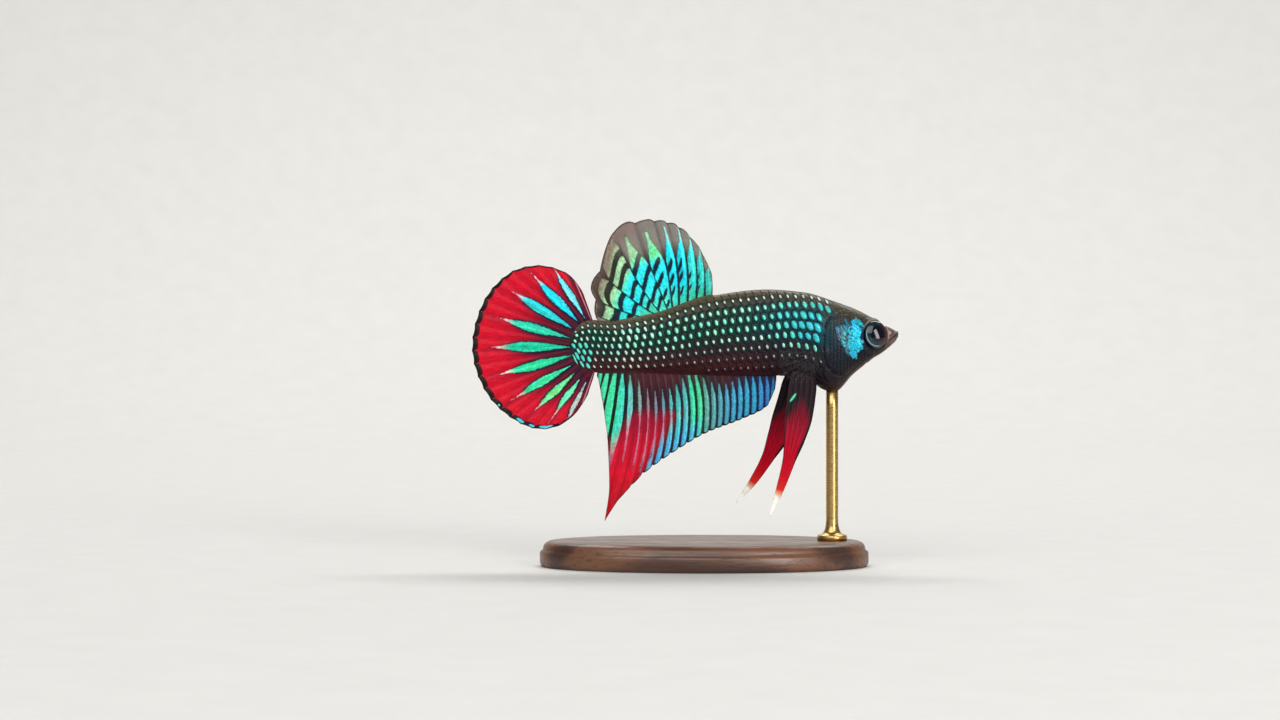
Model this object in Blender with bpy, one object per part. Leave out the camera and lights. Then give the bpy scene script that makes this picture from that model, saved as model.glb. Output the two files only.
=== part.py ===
"""A fighting fish (betta) with its fins spread, as a still, life-size model on a plain display stand.

Metres, +Z up. The fish faces +X with its right flank towards -Y. The origin is under the middle
of the whole model, on the underside of the stand's base.

Most sizes below are in millimetres. A place on the fish is given by its distance back from the
snout, its height over the body's axis and its distance out to the side (left is positive).
"""
import math

import bmesh
import bpy
from mathutils import Vector

MM = 0.001
GAP = 0.3                  # clear space between neighbouring pieces

# Where the fish hangs over the floor
SNOUT_X = 29.9             # tip of the snout ahead of the origin
AXIS_Z = 32.0              # height of the body's axis

# Body, as (distance behind the snout, value). The standard length ends at TAIL_END.
TAIL_ROUND = 43.0          # where the tail stock starts to round off
TAIL_END = 46.0
BACK_LINE = ((0.0, 0.75), (0.6, 1.15), (1.7, 1.62), (2.05, 1.5), (2.9, 2.45), (4.1, 3.1),
             (6.2, 4.15), (9.0, 5.15), (13.2, 6.4), (18.5, 6.8), (26.2, 5.9), (35.0, 3.15),
             (40.0, 2.4), (43.3, 2.6))
BELLY_LINE = ((0.0, 0.4), (0.4, -0.5), (1.3, -1.35), (3.8, -3.2), (6.4, -5.3), (8.9, -7.67),
              (9.9, -7.6), (12.0, -6.5), (16.0, -5.45), (30.0, -5.2), (43.3, -4.95))
HALF_WIDTH = ((0.0, 0.3), (0.5, 0.95), (1.7, 1.45), (4.0, 2.15), (7.0, 2.9), (10.5, 3.35),
              (15.0, 3.25), (22.0, 2.9), (30.0, 2.15), (38.0, 1.3), (43.0, 0.85), (46.0, 0.45))
FLANK_PINCH = ((0.0, 0.8), (8.0, 0.82), (18.0, 0.95), (34.0, 1.15), (46.0, 1.0))
WIDEST_SHARE = 0.52        # height of the widest level, as a share of the depth
HEAD_RINGS = 16
HEAD_LENGTH = 10.5
TRUNK_RINGS = 24
AROUND = 24                # points round each ring of the body

# Where the body is parted, as distances behind the snout at the body's axis
NAPE_CUT = 8.6
NAPE_LEAN = 0.16           # how far the cut leans ahead for each millimetre of height
TAIL_CUT = 33.0

# Gill covers
GILL_CENTRE = (8.1, -0.95)
GILL_HALF_LENGTH = 2.5
GILL_HALF_HEIGHT = 4.15
GILL_SQUARENESS = 2.5
GILL_PROUD = 0.12          # how far a cover stands out of the flank
GILL_DEEP = 0.75           # how deep it reaches into it
CORE_SPAN = (3.0, 16.0)    # the stretch of body that lies under the covers

# Mouth
MOUTH_TIP = (-1.0, 1.1)    # the slit's line, from ahead of the lips
MOUTH_CORNER = (1.3, -0.35)
CHIN_LOW = (2.75, -3.4)

# Eyes
EYE_AT = (3.4, 0.37, 1.58)
EYE_RADIUS = 1.85
EYE_HALF_DEPTH = 0.95
EYE_TURN_FORWARD = math.radians(16)
EYE_TURN_UP = math.radians(8)

# Fins: thickness at the root and at the margin
ROOT_THICK = 0.85
MARGIN_THICK = 0.5

# Tail fin: a fan of rays about one point in the tail stock
FAN_AT = (41.45, -1.35)
FAN_TOP = math.radians(70)
FAN_BOTTOM = math.radians(-73)
FAN_INNER = 3.2
FAN_REACH = ((-73, 7.0), (-68, 10.0), (-60, 12.9), (-50, 14.9), (-38, 16.2), (-20, 17.6), (0, 18.3),
             (20, 17.95), (38, 16.8), (50, 15.0), (60, 12.7), (66, 10.9), (70, 8.4))
FAN_RAYS = 24

# Dorsal fin: share along its base, then the rays' lean back from upright and their length
DORSAL_FRONT = (26.1, 5.2)
DORSAL_REAR = (39.6, 1.2)
DORSAL_LEAN = ((0.0, -2), (0.1, -4), (0.25, -1), (0.42, 8), (0.52, 22), (0.6, 38), (0.72, 59), (1.0, 69))
DORSAL_REACH = ((0.0, 3.7), (0.09, 5.9), (0.25, 10.2), (0.4, 12.9), (0.5, 13.7), (0.6, 12.0),
                (0.72, 8.3), (0.85, 5.6), (1.0, 2.9))
DORSAL_RAYS = 13

# Anal fin: share along its base, then where the rays end. The longest ray makes the fin's point.
ANAL_FRONT = (17.1, -4.6)
ANAL_REAR = (42.1, -4.4)
ANAL_POINT = 0.82
ANAL_TIP_BACK = ((0.0, 17.4), (0.06, 18.4), (0.2, 21.8), (0.42, 27.0), (0.55, 30.5), (0.71, 35.5),
                 (0.76, 37.4), (0.8, 39.3), (ANAL_POINT, 41.15), (0.845, 40.5), (0.88, 40.7),
                 (0.94, 41.55), (1.0, 42.1))
ANAL_TIP_HEIGHT = ((0.0, -7.5), (0.06, -9.6), (0.2, -11.4), (0.42, -13.4), (0.55, -15.4),
                   (0.71, -18.9), (0.76, -20.8), (0.8, -22.9), (ANAL_POINT, -25.7), (0.845, -20.9),
                   (0.88, -15.0), (0.94, -8.4), (1.0, -5.5))
ANAL_BOW = ((0.0, 0.03), (0.4, 0.05), (0.76, 0.065), (0.84, 0.045), (0.9, 0.0), (1.0, 0.0))
ANAL_RAYS = 25

# Belly fins: the middle line of each blade as (distance back, height, out), and its half width
BELLY_FIN_RIGHT = ((13.4, -4.6, -1.35), (13.7, -11.5, -2.5), (15.6, -18.6, -3.1), (18.2, -24.75, -3.3))
BELLY_FIN_LEFT = ((13.9, -4.6, 1.35), (15.2, -12.0, 2.6), (18.4, -18.6, 3.5), (22.5, -23.3, 4.2))
BELLY_FIN_HALF = ((0.0, 1.5), (0.12, 1.95), (0.3, 1.9), (0.45, 1.5), (0.62, 0.8), (0.8, 0.5), (1.0, 0.12))

# Breast fins: clear fans behind the gill covers
BREAST_FIN_AT = (10.9, -2.1, 3.0)
BREAST_FIN_OUT = math.radians(34)
BREAST_FIN_TOP = math.radians(26)
BREAST_FIN_BOTTOM = math.radians(-68)
BREAST_FIN_REACH = ((0.0, 4.6), (0.35, 6.9), (0.6, 6.8), (1.0, 4.2))
BREAST_FIN_THICK = 0.5

# Stand
BASE_LENGTH = 46.0
BASE_WIDTH = 26.0
BASE_THICK = 3.6
BASE_X = 2.6               # the base's middle ahead of the origin
BASE_EDGE = 0.7            # width of the rounded edge
BASE_STEPS = 40
ROD_BACK = 9.3             # the rod's distance behind the snout
ROD_RADIUS = 0.85
ROD_FOOT_RADIUS = 2.1
ROD_FOOT_HEIGHT = 1.1
ROD_STEPS = 16


# ---------------------------------------------------------------- curves and places

def smooth(points, x):
    """Height at x of a smooth curve through the points, with no overshoot between them."""
    if x <= points[0][0]:
        return points[0][1]
    if x >= points[-1][0]:
        return points[-1][1]
    steps = [(b[1] - a[1]) / (b[0] - a[0]) for a, b in zip(points, points[1:])]
    slopes = [steps[0]]
    for before, after in zip(steps, steps[1:]):
        same_way = before * after > 0
        slopes.append(2 * before * after / (before + after) if same_way else 0.0)
    slopes.append(steps[-1])
    k = max(i for i in range(len(steps)) if points[i][0] <= x)
    (x0, y0), (x1, y1) = points[k], points[k + 1]
    width = x1 - x0
    t = (x - x0) / width
    rise = (1 + 2 * t) * (1 - t) ** 2 * y0 + t * t * (3 - 2 * t) * y1
    turn = t * (1 - t) ** 2 * slopes[k] - t * t * (1 - t) * slopes[k + 1]
    return rise + width * turn


def place(back, height, out=0.0):
    """World position of a place on the fish."""
    return Vector((SNOUT_X - back, out, AXIS_Z + height)) * MM


def bezier(points, t):
    """Point on the cubic curve with these four control points."""
    weights = ((1 - t) ** 3, 3 * t * (1 - t) ** 2, 3 * t * t * (1 - t), t ** 3)
    return tuple(sum(w * p[axis] for w, p in zip(weights, points)) for axis in range(3))


# ---------------------------------------------------------------- materials and mesh helpers

def finish(name, color, roughness, metallic=0.0, alpha=1.0):
    """A plain Principled material."""
    material = bpy.data.materials.new(name)
    material.use_nodes = True
    shader = material.node_tree.nodes["Principled BSDF"]
    shader.inputs["Base Color"].default_value = (*color, 1.0)
    shader.inputs["Roughness"].default_value = roughness
    shader.inputs["Metallic"].default_value = metallic
    shader.inputs["Alpha"].default_value = alpha
    return material


def add_object(name, bm, material, smooth_angle=40):
    """Turn a bmesh into a named object with outward faces and smooth shading."""
    bmesh.ops.recalc_face_normals(bm, faces=bm.faces)
    mesh = bpy.data.meshes.new(name)
    bm.to_mesh(mesh)
    bm.free()
    mesh.shade_smooth()
    mesh.set_sharp_from_angle(angle=math.radians(smooth_angle))
    mesh.materials.append(material)
    obj = bpy.data.objects.new(name, mesh)
    bpy.context.collection.objects.link(obj)
    return obj


def as_cutter(obj):
    """Hide an object that only cuts others."""
    obj.hide_render = True
    obj.display_type = "WIRE"
    return obj


def boolean(obj, cutter, operation):
    """Cut or keep part of an object with another."""
    modifier = obj.modifiers.new(operation.title(), "BOOLEAN")
    modifier.operation = operation
    modifier.object = cutter
    modifier.solver = "EXACT"


def loft(rings):
    """Closed bmesh through rings of equally many points, each end closed by a fan."""
    bm = bmesh.new()
    loops = [[bm.verts.new(p) for p in ring] for ring in rings]
    count = len(rings[0])
    for low, high in zip(loops, loops[1:]):
        for k in range(count):
            after = (k + 1) % count
            bm.faces.new((low[k], low[after], high[after], high[k]))
    for loop in (loops[0], loops[-1]):
        centre = bm.verts.new(sum((v.co for v in loop), Vector()) / count)
        for k in range(count):
            bm.faces.new((loop[k], loop[(k + 1) % count], centre))
    return bm


def prism(outline, out_from, out_to):
    """Closed bmesh of an outline in the fish's side view, carried out sideways."""
    rings = []
    for out in (out_from, out_to):
        rings.append([place(back, height, out) for back, height in outline])
    return loft(rings)


def keep_behind(bm, back, lean, ahead=False):
    """Cut a closed bmesh with a leaning upright plane and close the cut."""
    normal = Vector((1, 0, -lean)).normalized()
    if ahead:
        normal = -normal
    everything = bm.verts[:] + bm.edges[:] + bm.faces[:]
    bmesh.ops.bisect_plane(bm, geom=everything, plane_co=place(back, 0.0), plane_no=normal,
                           clear_outer=True)
    rim = [edge for edge in bm.edges if edge.is_boundary]
    bmesh.ops.holes_fill(bm, edges=rim, sides=0)


# ---------------------------------------------------------------- body

def body_ring(back, grow):
    """Points round the body at one distance behind the snout."""
    top = smooth(BACK_LINE, back)
    bottom = smooth(BELLY_LINE, back)
    width = smooth(HALF_WIDTH, back) + grow
    if back > TAIL_ROUND:
        share = (back - TAIL_ROUND) / (TAIL_END - TAIL_ROUND)
        closing = math.sqrt(max(0.04, 1 - share * share))
        middle = (top + bottom) / 2
        top = middle + (top - middle) * closing
        bottom = middle + (bottom - middle) * closing
    pinch = smooth(FLANK_PINCH, back)
    widest = bottom + (top - bottom) * WIDEST_SHARE
    ring = []
    for k in range(AROUND):
        angle = 2 * math.pi * k / AROUND
        side = math.sin(angle)
        out = width * math.copysign(abs(side) ** pinch, side)
        reach = (top - widest if math.cos(angle) > 0 else widest - bottom) + grow
        ring.append(place(back, widest + reach * math.cos(angle), out))
    return ring


def body_mesh(grow=0.0, first=0.0, last=TAIL_END):
    """The body as one closed bmesh, by default from the lips to the end of the tail stock."""
    backs = [HEAD_LENGTH * (k / HEAD_RINGS) ** 1.6 for k in range(HEAD_RINGS)]
    for k in range(TRUNK_RINGS + 1):
        share = 1 - (1 - k / TRUNK_RINGS) ** 1.35
        backs.append(HEAD_LENGTH + (TAIL_END - HEAD_LENGTH) * share)
    rings = [body_ring(back, grow) for back in backs if first <= back <= last]
    rings[0] = [point + Vector((grow * MM, 0, 0)) for point in rings[0]]
    rings[-1] = [point - Vector((grow * MM, 0, 0)) for point in rings[-1]]
    return loft(rings)


def gill_outline(grow):
    """Rounded outline of a gill cover in side view."""
    points = []
    steps = 22
    for k in range(steps):
        angle = 2 * math.pi * k / steps
        across, up = math.cos(angle), math.sin(angle)
        power = 2 / GILL_SQUARENESS
        back = GILL_CENTRE[0] + (GILL_HALF_LENGTH + grow) * math.copysign(abs(across) ** power, across)
        height = GILL_CENTRE[1] + (GILL_HALF_HEIGHT + grow) * math.copysign(abs(up) ** power, up)
        points.append((back, height))
    return points


def jaw_outline(grow):
    """Outline of the lower jaw in side view: under the mouth slit and ahead of the throat."""
    front, corner, low = MOUTH_TIP, MOUTH_CORNER, CHIN_LOW
    return [(front[0], front[1] + grow), (corner[0] + grow, corner[1] + grow),
            (low[0] + grow, low[1]), (front[0], low[1])]


def eye_mesh(side, grow):
    """Closed bmesh of an eyeball, flattened from side to side."""
    bm = bmesh.new()
    bmesh.ops.create_uvsphere(bm, u_segments=20, v_segments=10, radius=1.0)
    radius = EYE_RADIUS + grow
    depth = EYE_HALF_DEPTH + grow
    facing = Vector((math.sin(EYE_TURN_FORWARD), side * math.cos(EYE_TURN_FORWARD),
                     math.sin(EYE_TURN_UP))).normalized()
    turn = Vector((0, 0, 1)).rotation_difference(facing)
    centre = place(EYE_AT[0], EYE_AT[1], side * EYE_AT[2])
    for vert in bm.verts:
        flat = Vector((vert.co.x * radius, vert.co.y * radius, vert.co.z * depth)) * MM
        vert.co = centre + turn @ flat
    return bm


def make_body(flesh, jaw_finish, cover_finish):
    """Head, lower jaw, gill covers, trunk and tail stock, parted from one shape."""
    half_gap = GAP / 2
    head_bm = body_mesh()
    keep_behind(head_bm, NAPE_CUT - half_gap, NAPE_LEAN, ahead=True)
    head = add_object("head", head_bm, flesh)

    trunk_bm = body_mesh()
    keep_behind(trunk_bm, NAPE_CUT + half_gap, NAPE_LEAN)
    keep_behind(trunk_bm, TAIL_CUT - half_gap, 0.0, ahead=True)
    trunk = add_object("trunk", trunk_bm, flesh)

    tail_bm = body_mesh()
    keep_behind(tail_bm, TAIL_CUT + half_gap, 0.0)
    add_object("tail_stock", tail_bm, flesh)

    jaw_bm = body_mesh()
    keep_behind(jaw_bm, NAPE_CUT, NAPE_LEAN, ahead=True)
    jaw = add_object("lower_jaw", jaw_bm, jaw_finish)
    under_slit = as_cutter(add_object("cut_jaw_shape", prism(jaw_outline(0), -5, 5), flesh))
    boolean(jaw, under_slit, "INTERSECT")
    slit = as_cutter(add_object("cut_mouth_slit", prism(jaw_outline(GAP), -5, 5), flesh))
    boolean(head, slit, "DIFFERENCE")

    core_bm = body_mesh(-GILL_DEEP, *CORE_SPAN)
    core = as_cutter(add_object("cut_cover_core", core_bm, flesh))
    recess_bm = body_mesh(-GILL_DEEP - GAP, *CORE_SPAN)
    recess_core = as_cutter(add_object("cut_recess_core", recess_bm, flesh))
    for word, side in (("right", -1), ("left", 1)):
        cover = add_object(f"gill_cover_{word}", body_mesh(GILL_PROUD), cover_finish)
        shape = prism(gill_outline(0), side * 0.4, side * 5)
        boolean(cover, as_cutter(add_object(f"cut_cover_{word}", shape, flesh)), "INTERSECT")
        boolean(cover, core, "DIFFERENCE")
        recess = add_object(f"cut_recess_{word}", prism(gill_outline(GAP), side * 0.4, side * 5), flesh)
        boolean(as_cutter(recess), recess_core, "DIFFERENCE")
        boolean(head, recess, "DIFFERENCE")
        boolean(trunk, recess, "DIFFERENCE")
    return head


def make_eyes(head, eye_finish):
    """Both eyes, and their sockets in the head."""
    for word, side in (("right", -1), ("left", 1)):
        add_object(f"eye_{word}", eye_mesh(side, 0.0), eye_finish)
        socket = add_object(f"cut_socket_{word}", eye_mesh(side, GAP), eye_finish)
        boolean(head, as_cutter(socket), "DIFFERENCE")


# ---------------------------------------------------------------- fins

def fin_mesh(columns, rows, point, thickness):
    """Closed bmesh of a fin: point(u, v) lies on its middle sheet, thickness(v) is across it."""
    step = 1e-3
    bm = bmesh.new()
    sheets = {}
    for i in range(columns + 1):
        for j in range(rows + 1):
            u, v = i / columns, j / rows
            here = Vector(point(u, v))
            along = Vector(point(min(1, u + step), v)) - Vector(point(max(0, u - step), v))
            outward = Vector(point(u, min(1, v + step))) - Vector(point(u, max(0, v - step)))
            normal = along.cross(outward).normalized()
            for face in (1, -1):
                spot = here + normal * face * thickness(v) / 2
                sheets[face, i, j] = bm.verts.new(place(*spot))
    for i in range(columns):
        for j in range(rows):
            for face in (1, -1):
                corners = [sheets[face, i, j], sheets[face, i + 1, j],
                           sheets[face, i + 1, j + 1], sheets[face, i, j + 1]]
                bm.faces.new(corners[::face])
    rim = [(i, 0) for i in range(columns)] + [(columns, j) for j in range(rows)]
    rim += [(i, rows) for i in range(columns, 0, -1)] + [(0, j) for j in range(rows, 0, -1)]
    for (a, b), (c, d) in zip(rim, rim[1:] + rim[:1]):
        bm.faces.new((sheets[1, a, b], sheets[-1, a, b], sheets[-1, c, d], sheets[1, c, d]))
    return bm


def median_thickness(v):
    """Thickness of a fin from its root to its margin."""
    return ROOT_THICK + (MARGIN_THICK - ROOT_THICK) * min(1.0, v * 1.6)


def scallop(u, rays, depth):
    """Length of the margin at u: full on each ray, less between two rays."""
    return 1 - depth * abs(math.sin(math.pi * rays * u))


def tail_fin_point(u, v):
    """Place on the tail fin: u from its upper edge to its lower one, v from root to margin."""
    angle = FAN_TOP + (FAN_BOTTOM - FAN_TOP) * u
    reach = smooth(FAN_REACH, math.degrees(angle)) * scallop(u, FAN_RAYS, 0.02)
    r = FAN_INNER + (reach - FAN_INNER) * v
    wave = 0.55 * math.sin(5.5 * u + 0.6) * v * v
    return (FAN_AT[0] + r * math.cos(angle), FAN_AT[1] + r * math.sin(angle), wave)


def dorsal_fin_point(u, v):
    """Place on the dorsal fin: u from front to rear, v from root to margin."""
    base_back = DORSAL_FRONT[0] + (DORSAL_REAR[0] - DORSAL_FRONT[0]) * u
    base_height = DORSAL_FRONT[1] + (DORSAL_REAR[1] - DORSAL_FRONT[1]) * u
    lean = math.radians(smooth(DORSAL_LEAN, u))
    reach = smooth(DORSAL_REACH, u) * scallop(u, DORSAL_RAYS, 0.025) * v
    wave = 0.5 * math.sin(4.2 * u + 2.4) * v * v
    return (base_back + reach * math.sin(lean), base_height + reach * math.cos(lean), wave)


def anal_fin_point(u, v):
    """Place on the anal fin: u from front to rear, v from root to margin."""
    base_back = ANAL_FRONT[0] + (ANAL_REAR[0] - ANAL_FRONT[0]) * u
    base_height = ANAL_FRONT[1] + (ANAL_REAR[1] - ANAL_FRONT[1]) * u
    notch = 0.04 * max(0.0, min(1.0, (ANAL_POINT - u) / 0.1))
    reach = v * scallop(u, ANAL_RAYS, notch)
    drop = smooth(ANAL_TIP_HEIGHT, u) - base_height
    sweep = smooth(ANAL_TIP_BACK, u) - base_back
    bow = 4 * smooth(ANAL_BOW, u) * drop * v * (1 - v)
    wave = 0.6 * math.sin(7.0 * u + 0.4) * v * v
    return (base_back + sweep * reach + bow, base_height + drop * reach, wave)


def belly_fin_point(line):
    """The same for a belly fin along its middle line: u across the blade, v down it."""
    def point(u, v):
        middle = Vector(bezier(line, v))
        ahead = Vector(bezier(line, min(1, v + 0.01))) - Vector(bezier(line, max(0, v - 0.01)))
        across = Vector((-ahead[1], ahead[0], 0)).normalized()
        half = smooth(BELLY_FIN_HALF, v)
        return middle + across * half * (2 * u - 1)
    return point


def breast_fin_point(side):
    """The same for a breast fin: u from its upper edge to its lower one, v from root to margin."""
    def point(u, v):
        angle = BREAST_FIN_TOP + (BREAST_FIN_BOTTOM - BREAST_FIN_TOP) * u
        reach = smooth(BREAST_FIN_REACH, u)
        r = 0.5 + (reach - 0.5) * v
        flat = r * math.cos(angle)
        sweep = BREAST_FIN_OUT * (1 - 0.35 * v)
        return (BREAST_FIN_AT[0] + flat * math.cos(sweep),
                BREAST_FIN_AT[1] + r * math.sin(angle),
                side * (BREAST_FIN_AT[2] + 0.5 + flat * math.sin(sweep)))
    return point


def make_fins(keep_clear, median_finish, tail_finish, belly_finish, clear_finish):
    """All seven fins, each cut back from the body by the gap."""
    fins = [
        add_object("tail_fin", fin_mesh(FAN_RAYS * 2, 5, tail_fin_point, median_thickness), tail_finish),
        add_object("dorsal_fin", fin_mesh(DORSAL_RAYS * 2, 5, dorsal_fin_point, median_thickness),
                   median_finish),
        add_object("anal_fin", fin_mesh(ANAL_RAYS * 2, 4, anal_fin_point, median_thickness),
                   median_finish),
    ]
    for word, line in (("right", BELLY_FIN_RIGHT), ("left", BELLY_FIN_LEFT)):
        blade = fin_mesh(4, 16, belly_fin_point(line), median_thickness)
        fins.append(add_object(f"belly_fin_{word}", blade, belly_finish))
    for word, side in (("right", -1), ("left", 1)):
        fan = fin_mesh(10, 5, breast_fin_point(side), lambda v: BREAST_FIN_THICK)
        fins.append(add_object(f"breast_fin_{word}", fan, clear_finish))
    for fin in fins:
        boolean(fin, keep_clear, "DIFFERENCE")


# ---------------------------------------------------------------- stand

def make_base(wood):
    """Flat oval base with a rounded edge."""
    rings = []
    for inset, height in ((0.4, 0.0), (0.0, 0.4), (0.0, BASE_THICK - BASE_EDGE),
                          (BASE_EDGE * 0.3, BASE_THICK - BASE_EDGE * 0.3), (BASE_EDGE, BASE_THICK)):
        ring = []
        for k in range(BASE_STEPS):
            angle = 2 * math.pi * k / BASE_STEPS
            x = BASE_X + (BASE_LENGTH / 2 - inset) * math.cos(angle)
            y = (BASE_WIDTH / 2 - inset) * math.sin(angle)
            ring.append(Vector((x, y, height)) * MM)
        rings.append(ring)
    add_object("stand_base", loft(rings), wood, smooth_angle=30)


def make_rod(keep_clear, metal):
    """Turned rod with a small round foot, from the base up to the breast."""
    bottom = BASE_THICK + GAP
    top = AXIS_Z - 6.5
    profile = ((ROD_FOOT_RADIUS, bottom), (ROD_FOOT_RADIUS, bottom + ROD_FOOT_HEIGHT * 0.6),
               (ROD_RADIUS * 1.25, bottom + ROD_FOOT_HEIGHT), (ROD_RADIUS, bottom + ROD_FOOT_HEIGHT * 1.6),
               (ROD_RADIUS, top))
    rings = []
    for radius, height in profile:
        ring = []
        for k in range(ROD_STEPS):
            angle = 2 * math.pi * k / ROD_STEPS
            x = SNOUT_X - ROD_BACK + radius * math.cos(angle)
            ring.append(Vector((x, radius * math.sin(angle), height)) * MM)
        rings.append(ring)
    rod = add_object("stand_rod", loft(rings), metal, smooth_angle=30)
    boolean(rod, keep_clear, "DIFFERENCE")


def main():
    for obj in list(bpy.data.objects):
        bpy.data.objects.remove(obj, do_unlink=True)

    flesh = finish("dark_scaled_skin", (0.035, 0.045, 0.04), 0.35, 0.2)
    jaw_finish = finish("brown_lip_skin", (0.12, 0.07, 0.06), 0.4)
    cover_finish = finish("turquoise_cover", (0.02, 0.45, 0.5), 0.3, 0.5)
    eye_finish = finish("dark_eye", (0.01, 0.015, 0.03), 0.08)
    median_finish = finish("blue_green_fin", (0.05, 0.5, 0.45), 0.35, 0.3)
    tail_finish = finish("red_tail_fin", (0.6, 0.01, 0.03), 0.4)
    belly_finish = finish("red_belly_fin", (0.4, 0.01, 0.03), 0.4)
    clear_finish = finish("clear_breast_fin", (0.6, 0.6, 0.55), 0.3, alpha=0.4)
    wood = finish("dark_wood", (0.09, 0.045, 0.025), 0.45)
    metal = finish("brushed_brass", (0.6, 0.45, 0.2), 0.35, 1.0)

    head = make_body(flesh, jaw_finish, cover_finish)
    make_eyes(head, eye_finish)
    keep_clear = as_cutter(add_object("cut_round_body", body_mesh(GAP), flesh))
    make_fins(keep_clear, median_finish, tail_finish, belly_finish, clear_finish)
    make_base(wood)
    make_rod(keep_clear, metal)


main()
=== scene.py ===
# %% [markdown]
# # A betta fish on a display stand
# A life-size museum model of a wild-type betta: a dark, scaled body with rows of mint and turquoise
# spots, a round red tail with turquoise streaks, a banded anal fin, a checkered dorsal fin and two
# red belly fins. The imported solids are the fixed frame, and everything below is the look put round them.
# One skin covers the head, jaw, gill covers, trunk and tail stock, so that no seam shows. Scales and
# spots are thin solid plates over it. Fins, eyes and stand are pieces of their own.

# %% Load the frame
import math
import bmesh
import bpy
import numpy as np
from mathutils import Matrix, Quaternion, Vector

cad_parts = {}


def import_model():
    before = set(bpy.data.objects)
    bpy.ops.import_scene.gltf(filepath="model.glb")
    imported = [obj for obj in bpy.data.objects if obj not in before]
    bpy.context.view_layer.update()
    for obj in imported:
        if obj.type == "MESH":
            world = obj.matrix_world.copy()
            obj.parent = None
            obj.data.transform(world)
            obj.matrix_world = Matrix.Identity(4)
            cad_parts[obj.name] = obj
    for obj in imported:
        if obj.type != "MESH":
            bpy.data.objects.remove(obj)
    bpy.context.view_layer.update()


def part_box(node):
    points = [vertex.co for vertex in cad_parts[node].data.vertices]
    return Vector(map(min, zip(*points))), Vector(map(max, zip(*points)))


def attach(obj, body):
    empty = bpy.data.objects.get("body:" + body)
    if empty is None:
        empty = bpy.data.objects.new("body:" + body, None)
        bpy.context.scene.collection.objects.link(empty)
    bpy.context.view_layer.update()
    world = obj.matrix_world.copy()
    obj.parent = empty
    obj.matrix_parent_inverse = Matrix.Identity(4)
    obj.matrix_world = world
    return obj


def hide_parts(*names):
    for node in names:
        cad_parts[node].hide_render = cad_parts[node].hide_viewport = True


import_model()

MM = 0.001

# %% [markdown]
# ## Places on the fish
# A fish is easiest to describe from its side: how far behind the snout, how high over the middle
# line, and how far out to the left. All shapes below use those three numbers, in millimetres, and one
# function turns them into places in the frame. The frame gives the snout and the middle line.

# %% Fish places and smooth curves
EYE_AT = (3.4, 0.37, 1.58)
snout_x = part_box("head")[1].x / MM
eye_low, eye_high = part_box("eye_right")
axis_z = (eye_low.z + eye_high.z) / 2 / MM - EYE_AT[1]


def world(points):
    """Places in the frame of points given as back, height and out, in millimetres."""
    points = np.asarray(points, float)
    turned = np.stack((snout_x - points[..., 0], points[..., 2], axis_z + points[..., 1]), -1)
    return turned * MM


def smooth(points, x):
    """Heights at x of a smooth curve through the points, with no overshoot between them."""
    xs, ys = np.array(points, float).T
    steps = np.diff(ys) / np.diff(xs)
    before, after = steps[:-1], steps[1:]
    same_way = before * after > 0
    inner = np.where(same_way, 2 * before * after / np.where(same_way, before + after, 1), 0)
    slopes = np.concatenate((steps[:1], inner, steps[-1:]))
    x = np.clip(x, xs[0], xs[-1])
    k = np.clip(np.searchsorted(xs, x, side="right") - 1, 0, len(steps) - 1)
    width = xs[k + 1] - xs[k]
    t = (x - xs[k]) / width
    rise = (1 + 2 * t) * (1 - t) ** 2 * ys[k] + t * t * (3 - 2 * t) * ys[k + 1]
    turn = t * (1 - t) ** 2 * slopes[k] - t * t * (1 - t) * slopes[k + 1]
    return rise + width * turn


def fade(low, high, x):
    """0 below low and 1 above high, with soft ends."""
    t = np.clip((x - low) / (high - low), 0, 1)
    return t * t * (3 - 2 * t)


def hump(x, half):
    """1 at zero, falling off on both sides over about half."""
    return np.exp(-(x / half) ** 2)


def oval(back, height, centre, half=(1.0, 1.0)):
    """Distance from a centre in side view, counted in half lengths and half heights of an oval."""
    return np.hypot((back - centre[0]) / half[0], (height - centre[1]) / half[1])


def circle(count):
    """Angles of this many points, evenly round a circle."""
    return 2 * math.pi * np.arange(count) / count


def unit(vectors):
    """The same directions, one long."""
    return vectors / np.maximum(np.linalg.norm(vectors, axis=-1, keepdims=True), 1e-9)


print("snout at x", round(snout_x, 2), "mm, middle line at z", round(axis_z, 2), "mm")

# %% [markdown]
# ## The body's form
# Every slice through the body is a rounded oval. Its top, bottom and half width change along the
# fish, and so does how flat its flanks are. A place on it is named by its distance behind the snout
# and an angle round the slice: 0 is the back, half a turn is the belly, plus is the left side.

# %% Body form
TAIL_ROUND = 43.0
TAIL_END = 46.0
BACK_LINE = ((0.0, 0.75), (0.6, 1.15), (1.7, 1.62), (2.05, 1.5), (2.9, 2.45), (4.1, 3.1), (6.2, 4.15),
             (9.0, 5.15), (13.2, 6.4), (18.5, 6.8), (26.2, 5.9), (35.0, 3.15), (40.0, 2.4), (43.3, 2.6))
BELLY_LINE = ((0.0, 0.4), (0.4, -0.5), (1.3, -1.35), (3.8, -3.2), (6.4, -5.3), (8.9, -7.67),
              (9.9, -7.6), (12.0, -6.5), (16.0, -5.45), (30.0, -5.2), (43.3, -4.95))
HALF_WIDTH = ((0.0, 0.3), (0.5, 0.95), (1.7, 1.45), (4.0, 2.15), (7.0, 2.9), (10.5, 3.35),
              (15.0, 3.25), (22.0, 2.9), (30.0, 2.15), (38.0, 1.3), (43.0, 0.85), (46.0, 0.45))
FLANK_PINCH = ((0.0, 0.8), (8.0, 0.82), (18.0, 0.95), (34.0, 1.15), (46.0, 1.0))
WIDEST_SHARE = 0.52
SKIN_DEPTH = 0.12
LIP_ROUND = 0.35


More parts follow.
